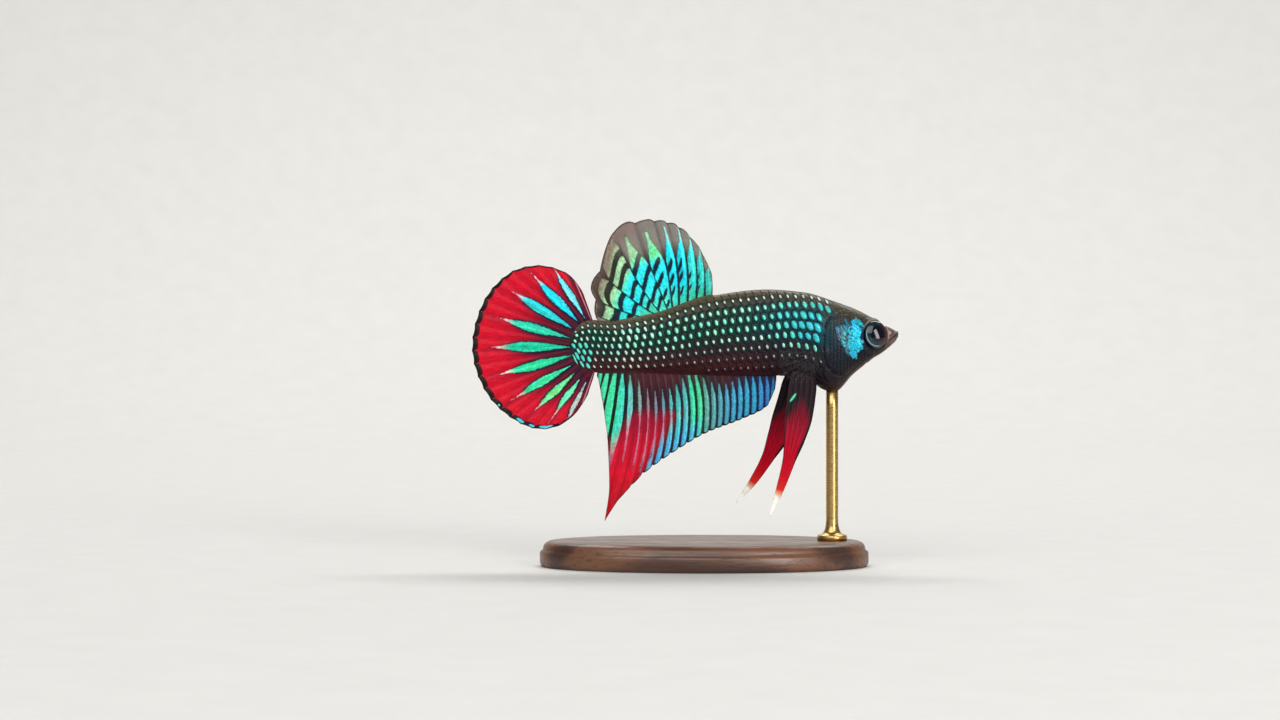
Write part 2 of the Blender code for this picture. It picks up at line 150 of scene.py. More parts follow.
def slice_edges(back):
    """Top, widest height, bottom and half width of the slice at each distance behind the snout."""
    top = smooth(BACK_LINE, back) - SKIN_DEPTH
    bottom = smooth(BELLY_LINE, back) + SKIN_DEPTH * fade(0, 1.5, back)
    width = smooth(HALF_WIDTH, back) - SKIN_DEPTH
    nose = np.clip(1 - back / LIP_ROUND, 0, 1)
    stern = np.clip((back - TAIL_ROUND) / (TAIL_END - TAIL_ROUND), 0, 1)
    closing = np.sqrt(np.maximum(1 - stern ** 2, 0.04)) * np.sqrt(np.maximum(1 - nose ** 2, 0.02))
    middle = (top + bottom) / 2
    top, bottom = middle + (top - middle) * closing, middle + (bottom - middle) * closing
    width = width * np.sqrt(np.maximum(1 - nose ** 2, 0.02))
    return top, bottom + (top - bottom) * WIDEST_SHARE, bottom, width


def body_point(back, angle):
    """Places on the smooth body, before the head's folds."""
    top, widest, bottom, width = slice_edges(back)
    side = np.sin(angle)
    out = width * np.sign(side) * np.abs(side) ** smooth(FLANK_PINCH, back)
    up = np.where(np.cos(angle) > 0, top - widest, widest - bottom)
    return np.stack((back + 0 * angle, widest + up * np.cos(angle), out), -1)


def body_outward(back, angle):
    """Outward directions of the smooth body, in fish places."""
    step = 2e-3
    along = body_point(back + step, angle) - body_point(back - step, angle)
    around = body_point(back, angle + step) - body_point(back, angle - step)
    normal = unit(np.cross(along, around))
    centre = np.stack((back + 0 * angle, slice_edges(back)[1] + 0 * angle, 0 * angle + 0 * back), -1)
    outside = np.sum(normal * (body_point(back, angle) - centre), -1, keepdims=True) > 0
    return np.where(outside, normal, -normal)


def angle_at(back, height):
    """Angle round the slice, from the back, at which the body has this height."""
    top, widest, bottom, _ = slice_edges(back)
    up = np.where(height > widest, (height - widest) / (top - widest),
                  (height - widest) / (widest - bottom))
    return np.arccos(np.clip(up, -1, 1))


def per_radian(back, angle):
    """Millimetres round the body for each radian, near one place."""
    near = body_point(back, angle + np.array((-0.05, 0.05)))
    return float(np.linalg.norm(near[1] - near[0])) / 0.1


def depth_share(back, height):
    """Share of the way down from the back line to the belly line."""
    top, _, bottom, _ = slice_edges(back)
    return np.clip((top - height) / (top - bottom), 0, 1)


slice_ring = body_point(np.array([12.0]), circle(96))
print("slice 12 mm behind the snout is", round(float(np.ptp(slice_ring[:, 1])), 2), "mm deep")

# %% [markdown]
# ## Folds of the head
# On the real fish the head is bone under thin skin: a ring of soft skin round each eye, a slanting
# mouth with two rolled lips, short nostril tubes, a bony ridge behind the cheek, and a gill cover that
# ends in a step. A sculptor would press these in with a tool. Here each is a bump or a groove that
# depends on where a point lies in side view, and the skin is pushed out or in by their sum.

# %% Head relief
EYE_RADIUS = 1.85
EYE_LONG = 0.94
EYE_TALL = 1.06
GILL_CENTRE = (8.1, -0.95)
GILL_HALF = (2.5, 4.15)
GILL_SQUARENESS = 2.5
MOUTH_LINE = ((0.0, 0.55), (0.5, 0.28), (1.4, -0.38), (1.9, -0.6))
NOSTRIL_AT = (1.35, 0.62)
REAR_NOSTRIL_AT = (1.95, 1.25)
CHEEK_BONE_AT = (3.7, -0.4)
CHEEK_BONE_HALF = (2.75, 3.1)
BREAST_FIN_AT = (10.9, -2.1, 3.0)


def from_eye(back, height):
    """Distance from the middle of the eye in side view, which is a little taller than long."""
    return oval(back, height, EYE_AT, (EYE_LONG, EYE_TALL))


def from_gill_edge(back, height):
    """Distance outside the edge of the gill cover in side view, less than zero on the cover."""
    across = np.abs(back - GILL_CENTRE[0]) / GILL_HALF[0]
    upright = np.abs(height - GILL_CENTRE[1]) / GILL_HALF[1]
    ring = (across ** GILL_SQUARENESS + upright ** GILL_SQUARENESS) ** (1 / GILL_SQUARENESS)
    return (ring - 1) * (GILL_HALF[0] + 0.5 * np.clip(upright, 0, 1))


def relief(back, height):
    """How far the skin stands out at each place in side view."""
    eye = from_eye(back, height)
    socket = -1.1 * (1 - fade(1.52, 1.84, eye)) + 0.15 * hump(eye - 2.0, 0.17)
    below_brow = 0.1 * hump(eye - 2.55, 0.3) * fade(0, 1.5, EYE_AT[1] - height)
    slit = height - smooth(MOUTH_LINE, back)
    at_mouth = 1 - fade(1.25, 1.75, back)
    rolled = 0.16 * hump(slit - 0.26, 0.19) + 0.14 * hump(slit + 0.27, 0.2)
    lips = (rolled - 0.19 * hump(slit, 0.06)) * at_mouth
    lip_fold = -0.09 * hump(back - 1.95 - 0.25 * height, 0.12) * (1 - fade(1.5, 1.9, np.abs(height - 0.3)))
    nostril = oval(back, height, NOSTRIL_AT)
    tube = 0.17 * hump(nostril - 0.12, 0.09) - 0.16 * hump(nostril, 0.07)
    rear_nostril = -0.12 * hump(oval(back, height, REAR_NOSTRIL_AT), 0.1)
    cheek = oval(back, height, CHEEK_BONE_AT, CHEEK_BONE_HALF)
    bone_edge = 0.09 * hump((cheek - 0.97) * 2.8, 0.22) - 0.1 * hump((cheek - 1.08) * 2.8, 0.13)
    ridge = bone_edge * fade(3.8, 5.2, back)
    edge = from_gill_edge(back, height)
    cover = (0.16 * (1 - fade(-0.1, 0.05, edge)) - 0.12 * hump(edge - 0.14, 0.12)) * fade(6.6, 8.0, back)
    above_throat = height - smooth(BELLY_LINE, back)
    along_throat = fade(2.6, 3.4, back) * (1 - fade(8.2, 9.4, back))
    throat_fold = -0.12 * hump(above_throat - 0.95, 0.1) * along_throat
    pad = 0.22 * hump(np.hypot(back - BREAST_FIN_AT[0] + 0.1, height - BREAST_FIN_AT[1]), 0.75)
    folds = socket + below_brow + lips + lip_fold + tube + rear_nostril + ridge + cover + throat_fold + pad
    return folds * fade(0, 0.25, back)


print("deepest fold:", round(float(relief(np.linspace(0, 11, 300), np.zeros(300)).min()), 2), "mm")

# %% [markdown]
# ## Making meshes from arrays
# A mesh is a list of places, the faces between them, and numbers kept at each place for the finishes
# to read. The map named OFBake says where each corner lies on a flat sheet, so that the colours can be
# printed to a picture later. All pieces go through one function, so that each rides on the model.

# %% Mesh helpers
def grid_faces(rows, columns, wrap=False):
    """Four-sided faces of a grid of points, with the row and the column of each of their corners."""
    row, column = np.mgrid[0:rows - 1, 0:columns - (0 if wrap else 1)]
    corner_rows = np.stack((row, row, row + 1, row + 1), -1).reshape(-1, 4)
    corner_columns = np.stack((column, column + 1, column + 1, column), -1).reshape(-1, 4)
    faces = corner_rows * columns + corner_columns % columns
    return faces, corner_rows, corner_columns


def make_piece(name, points, faces, corner_uv, numbers, finish, replaced=()):
    """A smooth mesh object on the model, from arrays in fish places."""
    mesh = bpy.data.meshes.new(name)
    places = world(points).reshape(-1, 3)
    mesh.from_pydata(places.tolist(), [], [list(face) for face in faces])
    mesh.uv_layers.new(name="OFBake").data.foreach_set("uv", np.asarray(corner_uv, np.float32).ravel())
    for key, values in numbers.items():
        kept = mesh.attributes.new(key, "FLOAT", "POINT")
        kept.data.foreach_set("value", np.asarray(values, np.float32).ravel())
    turned = bmesh.new()
    turned.from_mesh(mesh)
    bmesh.ops.recalc_face_normals(turned, faces=turned.faces)
    turned.to_mesh(mesh)
    turned.free()
    mesh.shade_smooth()
    mesh.materials.append(finish)
    piece = bpy.data.objects.new(name, mesh)
    bpy.context.scene.collection.objects.link(piece)
    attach(piece, "root")
    if replaced:
        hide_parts(*replaced)
    triangles = sum(len(face.vertices) - 2 for face in mesh.polygons)
    print(name, "made with", triangles, "triangles")


print("a grid of 3 by 4 points has", len(grid_faces(3, 4)[0]), "faces")

# %% [markdown]
# ## Wiring finishes
# Each finish is a small net of nodes. Writing them by hand takes many lines, so a helper adds a node,
# feeds its sockets and gives back what comes out. Colours are named by the red, green and blue a
# painter would mix on a screen, and turned into the linear values that the renderer works in.

# %% Node helpers
def paint(red, green, blue):
    """Linear colour of a screen colour given from 0 to 255."""
    share = np.array((red, green, blue)) / 255
    linear = np.where(share <= 0.04045, share / 12.92, ((share + 0.055) / 1.055) ** 2.4)
    return (*[float(v) for v in linear], 1.0)


class Wires:
    """Adds nodes to one tree and joins them. Each call gives back the socket that comes out."""

    def __init__(self, tree):
        self.tree = tree

    def feed(self, socket, value):
        """Sets a socket, or links another one to it. A word is the name of a number kept on the mesh."""
        if isinstance(value, str):
            value = self.node("Attribute", {}, output="Fac", attribute_name=value)
        if isinstance(value, bpy.types.NodeSocket):
            self.tree.links.new(value, socket)
        else:
            socket.default_value = value

    def node(self, kind, inputs, output=0, **settings):
        """Adds a node with these inputs and settings."""
        made = self.tree.nodes.new("ShaderNode" + kind)
        for key, value in settings.items():
            setattr(made, key, value)
        for key, value in inputs.items():
            self.feed(made.inputs[key], value)
        return made.outputs[output]

    def math(self, operation, *values):
        return self.node("Math", dict(enumerate(values)), operation=operation)

    def times(self, first, second):
        return self.math("MULTIPLY", first, second)

    def plus(self, first, second):
        return self.math("ADD", first, second)

    def less(self, first, second):
        return self.math("SUBTRACT", first, second)

    def apart(self, first, second):
        """How far apart two values are."""
        return self.math("ABSOLUTE", self.less(first, second))

    def folds(self, ray, per_ray=1):
        """1 on each whole ray number and -1 halfway to the next one."""
        return self.math("COSINE", self.times(ray, 2 * math.pi * per_ray))

    def mix(self, share, first, second):
        """One colour fading into another."""
        inputs = {0: share, 6: first, 7: second}
        return self.node("Mix", inputs, output=2, data_type="RGBA", clamp_factor=True)

    def coats(self, color, *layers):
        """Lays coats of paint over a colour. Each is a share and a red, green and blue."""
        for share, *tint in layers:
            color = self.mix(share, color, paint(*tint))
        return color

    def fade(self, value, low, high, start=0.0, end=1.0):
        """start below low and end above high, with soft ends."""
        inputs = {"Value": value, "From Min": low, "From Max": high, "To Min": start, "To Max": end}
        return self.node("MapRange", inputs, interpolation_type="SMOOTHSTEP")

    def blend(self, share, stops):
        """Colour by a value, with soft changes between stops of a place and a linear colour."""
        made = self.tree.nodes.new("ShaderNodeValToRGB")
        self.feed(made.inputs[0], share)
        marks = made.color_ramp.elements
        for _ in range(len(stops) - len(marks)):
            marks.new(0.5)
        for mark, (place, color) in zip(marks, stops):
            mark.position = place
            mark.color = color
        return made.outputs[0]

    def ramp(self, share, stops):
        """Colour by a value: each stop is a place and a red, green and blue."""
        return self.blend(share, [(place, paint(*color)) for place, *color in stops])

    def levels(self, share, stops):
        """Grey level by a value: each stop is a place and a level from 0 to 1."""
        return self.blend(share, [(place, (level, level, level, 1)) for place, level in stops])

    def noise(self, scale, detail=2.0, place=None):
        """Cloudy values round a half, by the place on the model in metres."""
        spot = place or self.node("TexCoord", {}, output="Object")
        return self.node("TexNoise", {"Vector": spot, "Scale": scale, "Detail": detail})

    def use(self, group, inputs):
        """Places a shared group and gives back its outputs."""
        made = self.tree.nodes.new("ShaderNodeGroup")
        made.node_tree = group
        for key, value in inputs.items():
            self.feed(made.inputs[key], value)
        return made.outputs

    def surface(self, shader, color, roughness, height, strength, depth):
        """Feeds a shader's colour and roughness, and its relief from a height."""
        self.feed(shader["Base Color"], color)
        self.feed(shader["Roughness"], roughness)
        relief_inputs = {"Height": height, "Strength": strength, "Distance": depth}
        self.feed(shader["Normal"], self.node("Bump", relief_inputs))


print("a painter's mid grey in linear light:", round(paint(128, 128, 128)[0], 3))

# %% [markdown]
# ## Starting a group or a finish
# A group holds an effect that several finishes share, and has named inputs and outputs. A finish is a
# material with a shader of its own, and its plain values are set when it is made. Both start nearly
# empty, so that the cell of each piece shows all that its look is made of.

# %% Group and finish helpers
def new_group(name, inputs, outputs):
    """A shared node group: its wires, its inputs and its outputs, by name."""
    tree = bpy.data.node_groups.new(name, "ShaderNodeTree")
    for label, value in inputs.items():
        kind = "NodeSocketColor" if isinstance(value, tuple) else "NodeSocketFloat"
        tree.interface.new_socket(label, in_out="INPUT", socket_type=kind).default_value = value
    for label, kind in outputs.items():
        tree.interface.new_socket(label, in_out="OUTPUT", socket_type="NodeSocket" + kind)
    entry = tree.nodes.new("NodeGroupInput")
    leave = tree.nodes.new("NodeGroupOutput")
    return Wires(tree), entry.outputs, leave.inputs


def new_finish(name, shine=0.5, coat=0.0, coat_blur=0.03, metal=0.0):
    """A material with these values all over: the material, its wires and its shader's inputs."""
    material = bpy.data.materials.new(name)
    material.use_nodes = True
    shader = material.node_tree.nodes["Principled BSDF"].inputs
    shader["Specular IOR Level"].default_value = shine
    shader["Coat Weight"].default_value = coat
    shader["Coat Roughness"].default_value = coat_blur
    shader["Metallic"].default_value = metal
    return material, Wires(material.node_tree), shader


print("materials and groups so far:", len(bpy.data.materials), "and", len(bpy.data.node_groups))

# %% [markdown]
# ## Effects that several finishes share
# *Mottle* makes a colour uneven in patches and in fine grain, as living skin is. *Glitter* is the look
# of the tiny reflecting crystals in iridescent skin: flecks of a lighter and a deeper tint.

# %% Shared groups: mottle and glitter
w, entry, leave = new_group("mottle", {"Color": paint(90, 80, 70), "Patch Scale": 900.0, "Strength": 0.3},
                            {"Color": "Color", "Height": "Float"})
patches = w.noise(entry["Patch Scale"], 3.0)
grains = w.noise(w.times(entry["Patch Scale"], 6.0), 2.0)
blend = w.plus(w.times(patches, 0.6), w.times(grains, 0.4))
swing = w.times(w.less(blend, 0.5), w.times(entry["Strength"], 4.0))
w.feed(leave["Color"], w.node("HueSaturation", {"Color": entry["Color"], "Value": w.plus(swing, 1.0)}))
w.feed(leave["Height"], blend)
mottle = w.tree

glitter_inputs = {"Color": paint(60, 200, 170), "Fleck Scale": 6000.0, "Strength": 0.5}
glitter_outputs = {"Color": "Color", "Roughness": "Float", "Height": "Float"}
w, entry, leave = new_group("glitter", glitter_inputs, glitter_outputs)
spot = w.node("TexCoord", {}, output="Object")
flecks = w.node("TexVoronoi", {"Vector": spot, "Scale": entry["Fleck Scale"]}, output="Color")
fleck = w.node("SeparateColor", {0: flecks})
clouds = w.noise(w.times(entry["Fleck Scale"], 0.25), 2.0)
swing = w.plus(w.less(fleck, 0.5), w.less(clouds, 0.5))
value = w.plus(w.times(swing, entry["Strength"]), 1.0)
hue = w.plus(w.times(w.less(clouds, 0.5), 0.12), 0.5)
w.feed(leave["Color"], w.node("HueSaturation", {"Color": entry["Color"], "Value": value, "Hue": hue}))
w.feed(leave["Roughness"], w.fade(fleck, 0.0, 1.0, 0.26, 0.46))
w.feed(leave["Height"], fleck)
glitter = w.tree
print("groups:", mottle.name, glitter.name)

# %% [markdown]
# ## Ground colours of the body
# Under its spots the fish is dark: olive along the back, green-black on the flanks and maroon towards
# the belly, and a deep blue-green behind the head. The head is brown and olive on top and nearly black
# lower down, and the lips are brown with some mauve. The skin and every scale read this one group, so
# that both always carry the same colours.

# %% Shared group: flesh tint
w, entry, leave = new_group("flesh_tint", {"Back": 20.0, "Down": 0.5}, {"Color": "Color"})
trunk_tint = w.ramp(entry["Down"], ((0.0, 86, 77, 58), (0.05, 68, 61, 46), (0.13, 47, 44, 36),
                                    (0.22, 20, 40, 30), (0.42, 14, 36, 32), (0.56, 30, 29, 35),
                                    (0.7, 36, 26, 31), (0.84, 54, 24, 29), (1.0, 56, 24, 28)))
breast_tint = w.ramp(entry["Down"], ((0.0, 80, 74, 57), (0.08, 62, 57, 44), (0.16, 34, 46, 46),
                                     (0.26, 6, 46, 52), (0.48, 4, 42, 54), (0.6, 18, 23, 33),
                                     (0.84, 25, 20, 27), (1.0, 34, 22, 24)))
head_tint = w.ramp(entry["Down"], ((0.0, 84, 79, 64), (0.08, 64, 60, 48), (0.2, 48, 45, 38),
                                   (0.32, 28, 32, 34), (0.55, 8, 18, 32), (0.74, 14, 20, 30),
                                   (0.88, 30, 26, 25), (0.95, 52, 34, 25), (1.0, 38, 23, 18)))
tint = w.mix(w.fade(entry["Back"], 14.0, 22.0), breast_tint, trunk_tint)
tint = w.mix(w.fade(entry["Back"], 7.6, 10.4), head_tint, tint)
tint = w.mix(w.fade(entry["Back"], 1.5, 2.3), paint(94, 70, 67), tint)
w.feed(leave["Color"], tint)
flesh_tint = w.tree
print("ground colours in group", flesh_tint.name)

# %% [markdown]
# ## The skin
# One tube of rings runs from the lips to the root of the tail. The rings lie closer on the head, where
# the folds need them. The skin stands in for six solids of flesh and lies a little inside them, by the
# thickness of the scales. Its mesh keeps how far back and how far down each point is, where the cheek
# is, where the nostrils and the vent have pale rings, where a painted highlight lies on the upper rim
# of each eye socket, and where painted shade lies in the mouth slit and the groove of the gill cover.

# %% Skin finish
skin_finish, w, shader = new_finish("dark_wet_skin", shine=0.16, coat=0.05, coat_blur=0.12)
ground = w.use(flesh_tint, {"Back": "back", "Down": "down"})["Color"]
# The dark coat is painted shade in the mouth slit and in the groove at the edge of the gill cover.
# The pale coat is pale skin round the nostrils and the vent, and a painted highlight on the upper front
# rim of each eye socket.
ground = w.coats(ground, ("cheek", 6, 36, 74), ("pale_skin_and_highlight", 176, 160, 148), ("crease_shade", 22, 14, 14))
skin_mottle = w.use(mottle, {"Color": ground, "Patch Scale": 1100.0, "Strength": 0.28})
w.surface(shader, skin_mottle["Color"], w.fade(skin_mottle["Height"], 0.3, 0.7, 0.28, 0.48),
          skin_mottle["Height"], 0.35, 0.00012)
print("finish:", skin_finish.name)

# %% [markdown]
# ## The skin's mesh
# A sculptor would build this form in clay and press the folds in. Here every ring is a slice of the
# smooth body, and each of its points is then moved outwards or inwards by the folds of the head. Made
# from formulas, the mesh has no seam, and the scales can ask the same formulas where the skin is.

# %% Skin mesh
HEAD_RINGS = 190
BODY_RINGS = 150
SKIN_AROUND = 192
HEAD_END = 11.0
VENT_AT = (15.85, -5.3)
head_backs = 0.004 + HEAD_END * (np.arange(HEAD_RINGS) / HEAD_RINGS) ** 1.3
ring_backs = np.concatenate((head_backs, np.linspace(HEAD_END, TAIL_END, BODY_RINGS)))
ring_angles = np.linspace(0, 2 * math.pi, SKIN_AROUND, endpoint=False)
backs, angles = np.meshgrid(ring_backs, ring_angles, indexing="ij")
smooth_places = body_point(backs, angles)


def fin_saddle(back, angle):
    """Low fleshy ridge along the roots of the dorsal and the anal fin."""
    above = 0.28 * hump(angle, 0.22) * fade(25.2, 26.6, back) * (1 - fade(38.5, 40.0, back))
    below = 0.22 * hump(math.pi - angle, 0.2) * fade(16.6, 18.0, back) * (1 - fade(41.5, 42.5, back))
    return above + below


def cheek_patch(back, height, clear_of_eye=2.15):
    """1 on the iridescent cheek, 0 off it, in side view."""
    behind_eye = fade(clear_of_eye, clear_of_eye + 0.25, from_eye(back, height)) * fade(5.0, 5.4, back)
    sloping = 0.55 * np.maximum(back - 6.3, 0) + 0.9 * np.maximum(5.9 - back, 0)
    under_top = fade(0, 0.5, 2.75 - sloping - height)
    over_chin = fade(0, 0.5, height + 3.0 - 1.4 * np.maximum(back - 6.9, 0))
    over_chin = over_chin * fade(0, 0.4, height + 2.5 + 1.4 * (back - 5.9))
    return behind_eye * under_top * over_chin * (1 - fade(8.4, 9.1, back))


from_back = np.minimum(angles, 2 * math.pi - angles)
side_heights = smooth_places[..., 1]
push = relief(backs, side_heights) + fin_saddle(backs, from_back)
skin_places = smooth_places + body_outward(backs, angles) * push[..., None]
slit = side_heights - smooth(MOUTH_LINE, backs)
eye_gap = from_eye(backs, side_heights)
above_eye = (side_heights - EYE_AT[1]) - 0.5 * (backs - EYE_AT[0])
# Painted highlight: the upper front rim of each eye socket is made pale, as if light caught its edge.
eye_rim_highlight = hump(eye_gap - 1.95, 0.1) * fade(-0.4, 0.9, above_eye)
nostril_ring = hump(oval(backs, side_heights, NOSTRIL_AT) - 0.12, 0.1)
vent_ring = hump(oval(backs, side_heights, VENT_AT) - 0.12, 0.14) * fade(2.4, 2.9, from_back)
# Painted shade: the mouth slit and the groove just outside the gill cover are made dark.
mouth_slit_shade = hump(slit, 0.075) * (1 - fade(1.3, 1.7, backs))
gill_groove_shade = 0.7 * hump(from_gill_edge(backs, side_heights) - 0.12, 0.13) * fade(7.0, 8.2, backs)
skin_numbers = {
    "back": backs,
    "down": depth_share(backs, side_heights),
    "cheek": cheek_patch(backs, side_heights, clear_of_eye=1.9) * 0.9,
    "pale_skin_and_highlight": np.clip(0.5 * eye_rim_highlight + 0.8 * nostril_ring + 0.8 * vent_ring, 0, 1),
    "crease_shade": np.clip(mouth_slit_shade + gill_groove_shade, 0, 1),
}
faces, corner_rows, corner_columns = grid_faces(len(ring_backs), SKIN_AROUND, wrap=True)
corner_uv = np.stack((ring_backs[corner_rows] / TAIL_END, (corner_columns / SKIN_AROUND + 0.5) % 1.0), -1)
spans_seam = np.ptp(corner_uv[..., 1], axis=1) > 0.5
corner_uv[..., 1] = np.where(spans_seam[:, None] & (corner_uv[..., 1] < 0.5), 1.0, corner_uv[..., 1])
corner_uv = 0.01 + 0.98 * corner_uv.reshape(-1, 2)
lip_cap = list(range(SKIN_AROUND))
tail_cap = list(range((len(ring_backs) - 1) * SKIN_AROUND, len(ring_backs) * SKIN_AROUND))
caps_uv = np.tile((0.005, 0.005), (2 * SKIN_AROUND, 1))
make_piece("body_skin", skin_places, faces.tolist() + [lip_cap, tail_cap],
           np.concatenate((corner_uv, caps_uv)), skin_numbers, skin_finish,
           ("head", "lower_jaw", "gill_cover_left", "gill_cover_right", "trunk", "tail_stock"))

# %% [markdown]
# ## Plates on the skin
# Scales overlap like roof tiles: the front edge of each is under the one before it, and the rear edge
# stands a little proud. One function makes any number of thin closed plates at once. Each is a disc
# bent to the body's surface, and its patch on the flat map lies where its root does.

# %% Plate maker
BODY_RADIUS = 4.5
PATCH_HALF = 0.0015
plate_rng = np.random.default_rng(11)


def disc(rings, spokes):
    """A flat disc: places in its plane, share of the way to its rim, and faces, its lower side too."""
    turn = circle(spokes)
    shares = np.concatenate(([0], np.repeat((np.arange(rings) + 1) / rings, spokes), np.ones(spokes)))
    turns = np.concatenate(([0], np.tile(turn, rings + 1)))
    faces = [[0, 1 + k, 1 + (k + 1) % spokes] for k in range(spokes)]
    for ring in range(rings):
        start = 1 + ring * spokes
        for k in range(spokes):
            after = (k + 1) % spokes
            faces.append([start + k, start + spokes + k, start + spokes + after, start + after])
    faces.append([1 + rings * spokes + k for k in range(spokes)][::-1])
    return shares * np.cos(turns), shares * np.sin(turns), shares, faces


def make_plates(name, roots, rise, finish, rings=3, spokes=14, lean=0.0, drop=0.1, square=2.0,
                ragged=0.0):
    """Thin closed plates on the body. roots holds, for each: back, angle, side, half length, half angle,
    tone and glow. rise(x, y, share, number) is how far the top stands out of the skin."""
    x, y, share, faces = disc(rings, spokes)
    number = np.arange(len(roots))[:, None]
    square = np.broadcast_to(np.reshape(square, (-1, 1)), (len(roots), 1))
    corner = (np.abs(x) ** square + np.abs(y) ** square) ** (1 / square)
    spoke = (np.arange(x.size) - 1) % spokes
    uneven = plate_rng.uniform(1 - ragged, 1 + ragged, (len(roots), spokes))[:, spoke]
    fit = np.where(corner > 0, share / np.maximum(corner, 1e-9), 1.0) * uneven
    x, y = x * fit, y * fit
    facts = np.asarray(roots, float).T[..., None]
    root_back, root_angle, side, half_length, half_angle, tone, glow = facts
    backs = root_back + x * half_length + lean * y * half_angle * BODY_RADIUS
    angles = root_angle - y * half_angle
    smooth_places = body_point(backs, side * angles)
    lift = rise(x, y, share, number) + relief(backs, smooth_places[..., 1])
    lift[:, -spokes:] -= drop
    places = smooth_places + body_outward(backs, side * angles) * lift[..., None]
    count = places.shape[1]
    all_faces = [[v + count * plate for v in face] for plate in range(len(roots)) for face in faces]
    root_uv = np.stack((root_back / TAIL_END, side * root_angle / (2 * math.pi) + 0.5), -1)
    patch = np.stack(np.broadcast_arrays(x, y), -1) * PATCH_HALF
    uv = (0.01 + 0.98 * root_uv + patch).reshape(-1, 2)
    down = depth_share(root_back, body_point(root_back, root_angle)[..., 1])
    numbers = {"back": root_back + 0 * x, "down": down + 0 * x, "rim": share + 0 * root_back,
               "tone": tone + 0 * x, "glow": glow + 0 * x, "lead": -x}
    corner_uv = uv[np.concatenate(all_faces)]
    make_piece(name, places, all_faces, corner_uv, numbers, finish)


flat_disc = disc(2, 12)
print("a plate of 2 rings and 12 spokes has", flat_disc[0].size, "points and", len(flat_disc[3]), "faces")

# %% [markdown]
# ## Where the scales sit
# The scales stand in rows that follow the body's taper. Row 1 is the first full row under the back, and
# each further row lies the same share of the depth below it. Each row starts a little further back
# than the one above, which makes the slanting lines of spots on the flank.

# %% Scale places
ROW_ONE = ((11.1, 0.12), (14.0, 0.151), (21.2, 0.228), (27.4, 0.235), (34.9, 0.225), (41.9, 0.225))
ROW_STEP = ((11.1, 0.12), (14.0, 0.118), (21.2, 0.115), (27.4, 0.12), (34.9, 0.13), (41.9, 0.134))
ROW_ZERO = ((11.0, 0.04), (15.0, 0.07), (21.0, 0.11), (42.0, 0.11))
COLUMN_PITCH = ((10.0, 1.09), (25.0, 1.1), (33.0, 1.13), (37.0, 1.06), (40.0, 0.96), (42.0, 0.88),
                (45.0, 0.86))
FIRST_COLUMN = 8.75
LAST_COLUMN_GAP = 0.8
LAST_SCALE_GAP = 0.5
ROW_SHIFT = 0.2
MID_BACK = -2
LAST_ROW = 9
MID_BELLY = 10
LOWEST_SHARE = 0.95
FIRST_BACK = 8.8
BEHIND_GILL = 0.45


def row_angle(row, back):
    """Angle round the body of a row of scales, or None where the row has run out."""
    top, _, bottom, _ = slice_edges(back)
    if row == MID_BACK:
        return 0.0
    if row == MID_BELLY:
        return math.pi
    share = smooth(ROW_ZERO, back)
    if row > 0:
        share = smooth(ROW_ONE, back) + (row - 1) * smooth(ROW_STEP, back)
    if share > LOWEST_SHARE:
        return None
    angle = float(angle_at(back, top - share * (top - bottom)))
    return angle / 2 if row == -1 else angle


def scale_places():
    """Every scale as row, back and angle, on one side."""
    found = []
    column = FIRST_COLUMN
    while column < TAIL_END - LAST_COLUMN_GAP:
        for row in range(MID_BACK, MID_BELLY + 1):
            back = column + ROW_SHIFT * min(row, LAST_ROW) + (0.5 if row < 0 else 0.0)
            if back > TAIL_END - LAST_SCALE_GAP:
                continue
            angle = row_angle(row, back)
            if angle is None:
                continue
            height = body_point(back, angle)[1]
            if from_gill_edge(back, height) > BEHIND_GILL and back > FIRST_BACK:
                found.append((row, back, angle))
        column += float(smooth(COLUMN_PITCH, column))
    return found


scale_spots = scale_places()
print("scales on one side:", len(scale_spots))

# %% [markdown]
# ## Scales
# Each scale has the ground colour of the skin under it, a darker rim and a faint sheen. The rim is what
# draws the net that shows between the spots.

# %% Scale finish and meshes
scale_finish, w, shader = new_finish("dark_scales", shine=0.14, coat=0.04, coat_blur=0.15)
ground = w.use(flesh_tint, {"Back": "back", "Down": "down"})["Color"]
glow_color = w.mix(w.fade("back", 16.0, 26.0), paint(2, 66, 76), paint(8, 60, 46))
glow_share = w.times("glow", w.fade("rim", 0.3, 0.95, 0.75, 0.1))
ground = w.mix(glow_share, ground, glow_color)
ground = w.mix(w.fade("rim", 0.84, 1.0, 0.0, 0.6), ground, paint(10, 12, 14))
scale_mottle = w.use(mottle, {"Color": ground, "Patch Scale": 1500.0, "Strength": 0.25})
w.surface(shader, scale_mottle["Color"], w.fade(scale_mottle["Height"], 0.3, 0.7, 0.26, 0.46),
          scale_mottle["Height"], 0.3, 0.00008)

SCALE_LENGTH = 0.94
SCALE_SLOPE = 0.062
BACK_SLOPE = 0.03
GLOW_ROWS = (0.25, 0.9, 1.0, 1.0, 0.6, 0.15)


def scale_half_angle(row, back, angle):
    """Half the angle that a scale takes up round the body."""
    if row in (MID_BACK, -1):
        return 0.6 * float(row_angle(0, back))
    top, _, bottom, _ = slice_edges(back)
    step = float(smooth(ROW_STEP, back)) * (top - bottom) / 2
    height = body_point(back, angle)[1]
    spread = angle_at(back, max(height - step, bottom)) - angle_at(back, min(height + step, top))
    return float(np.clip(0.66 * spread, 0.05, 0.5))


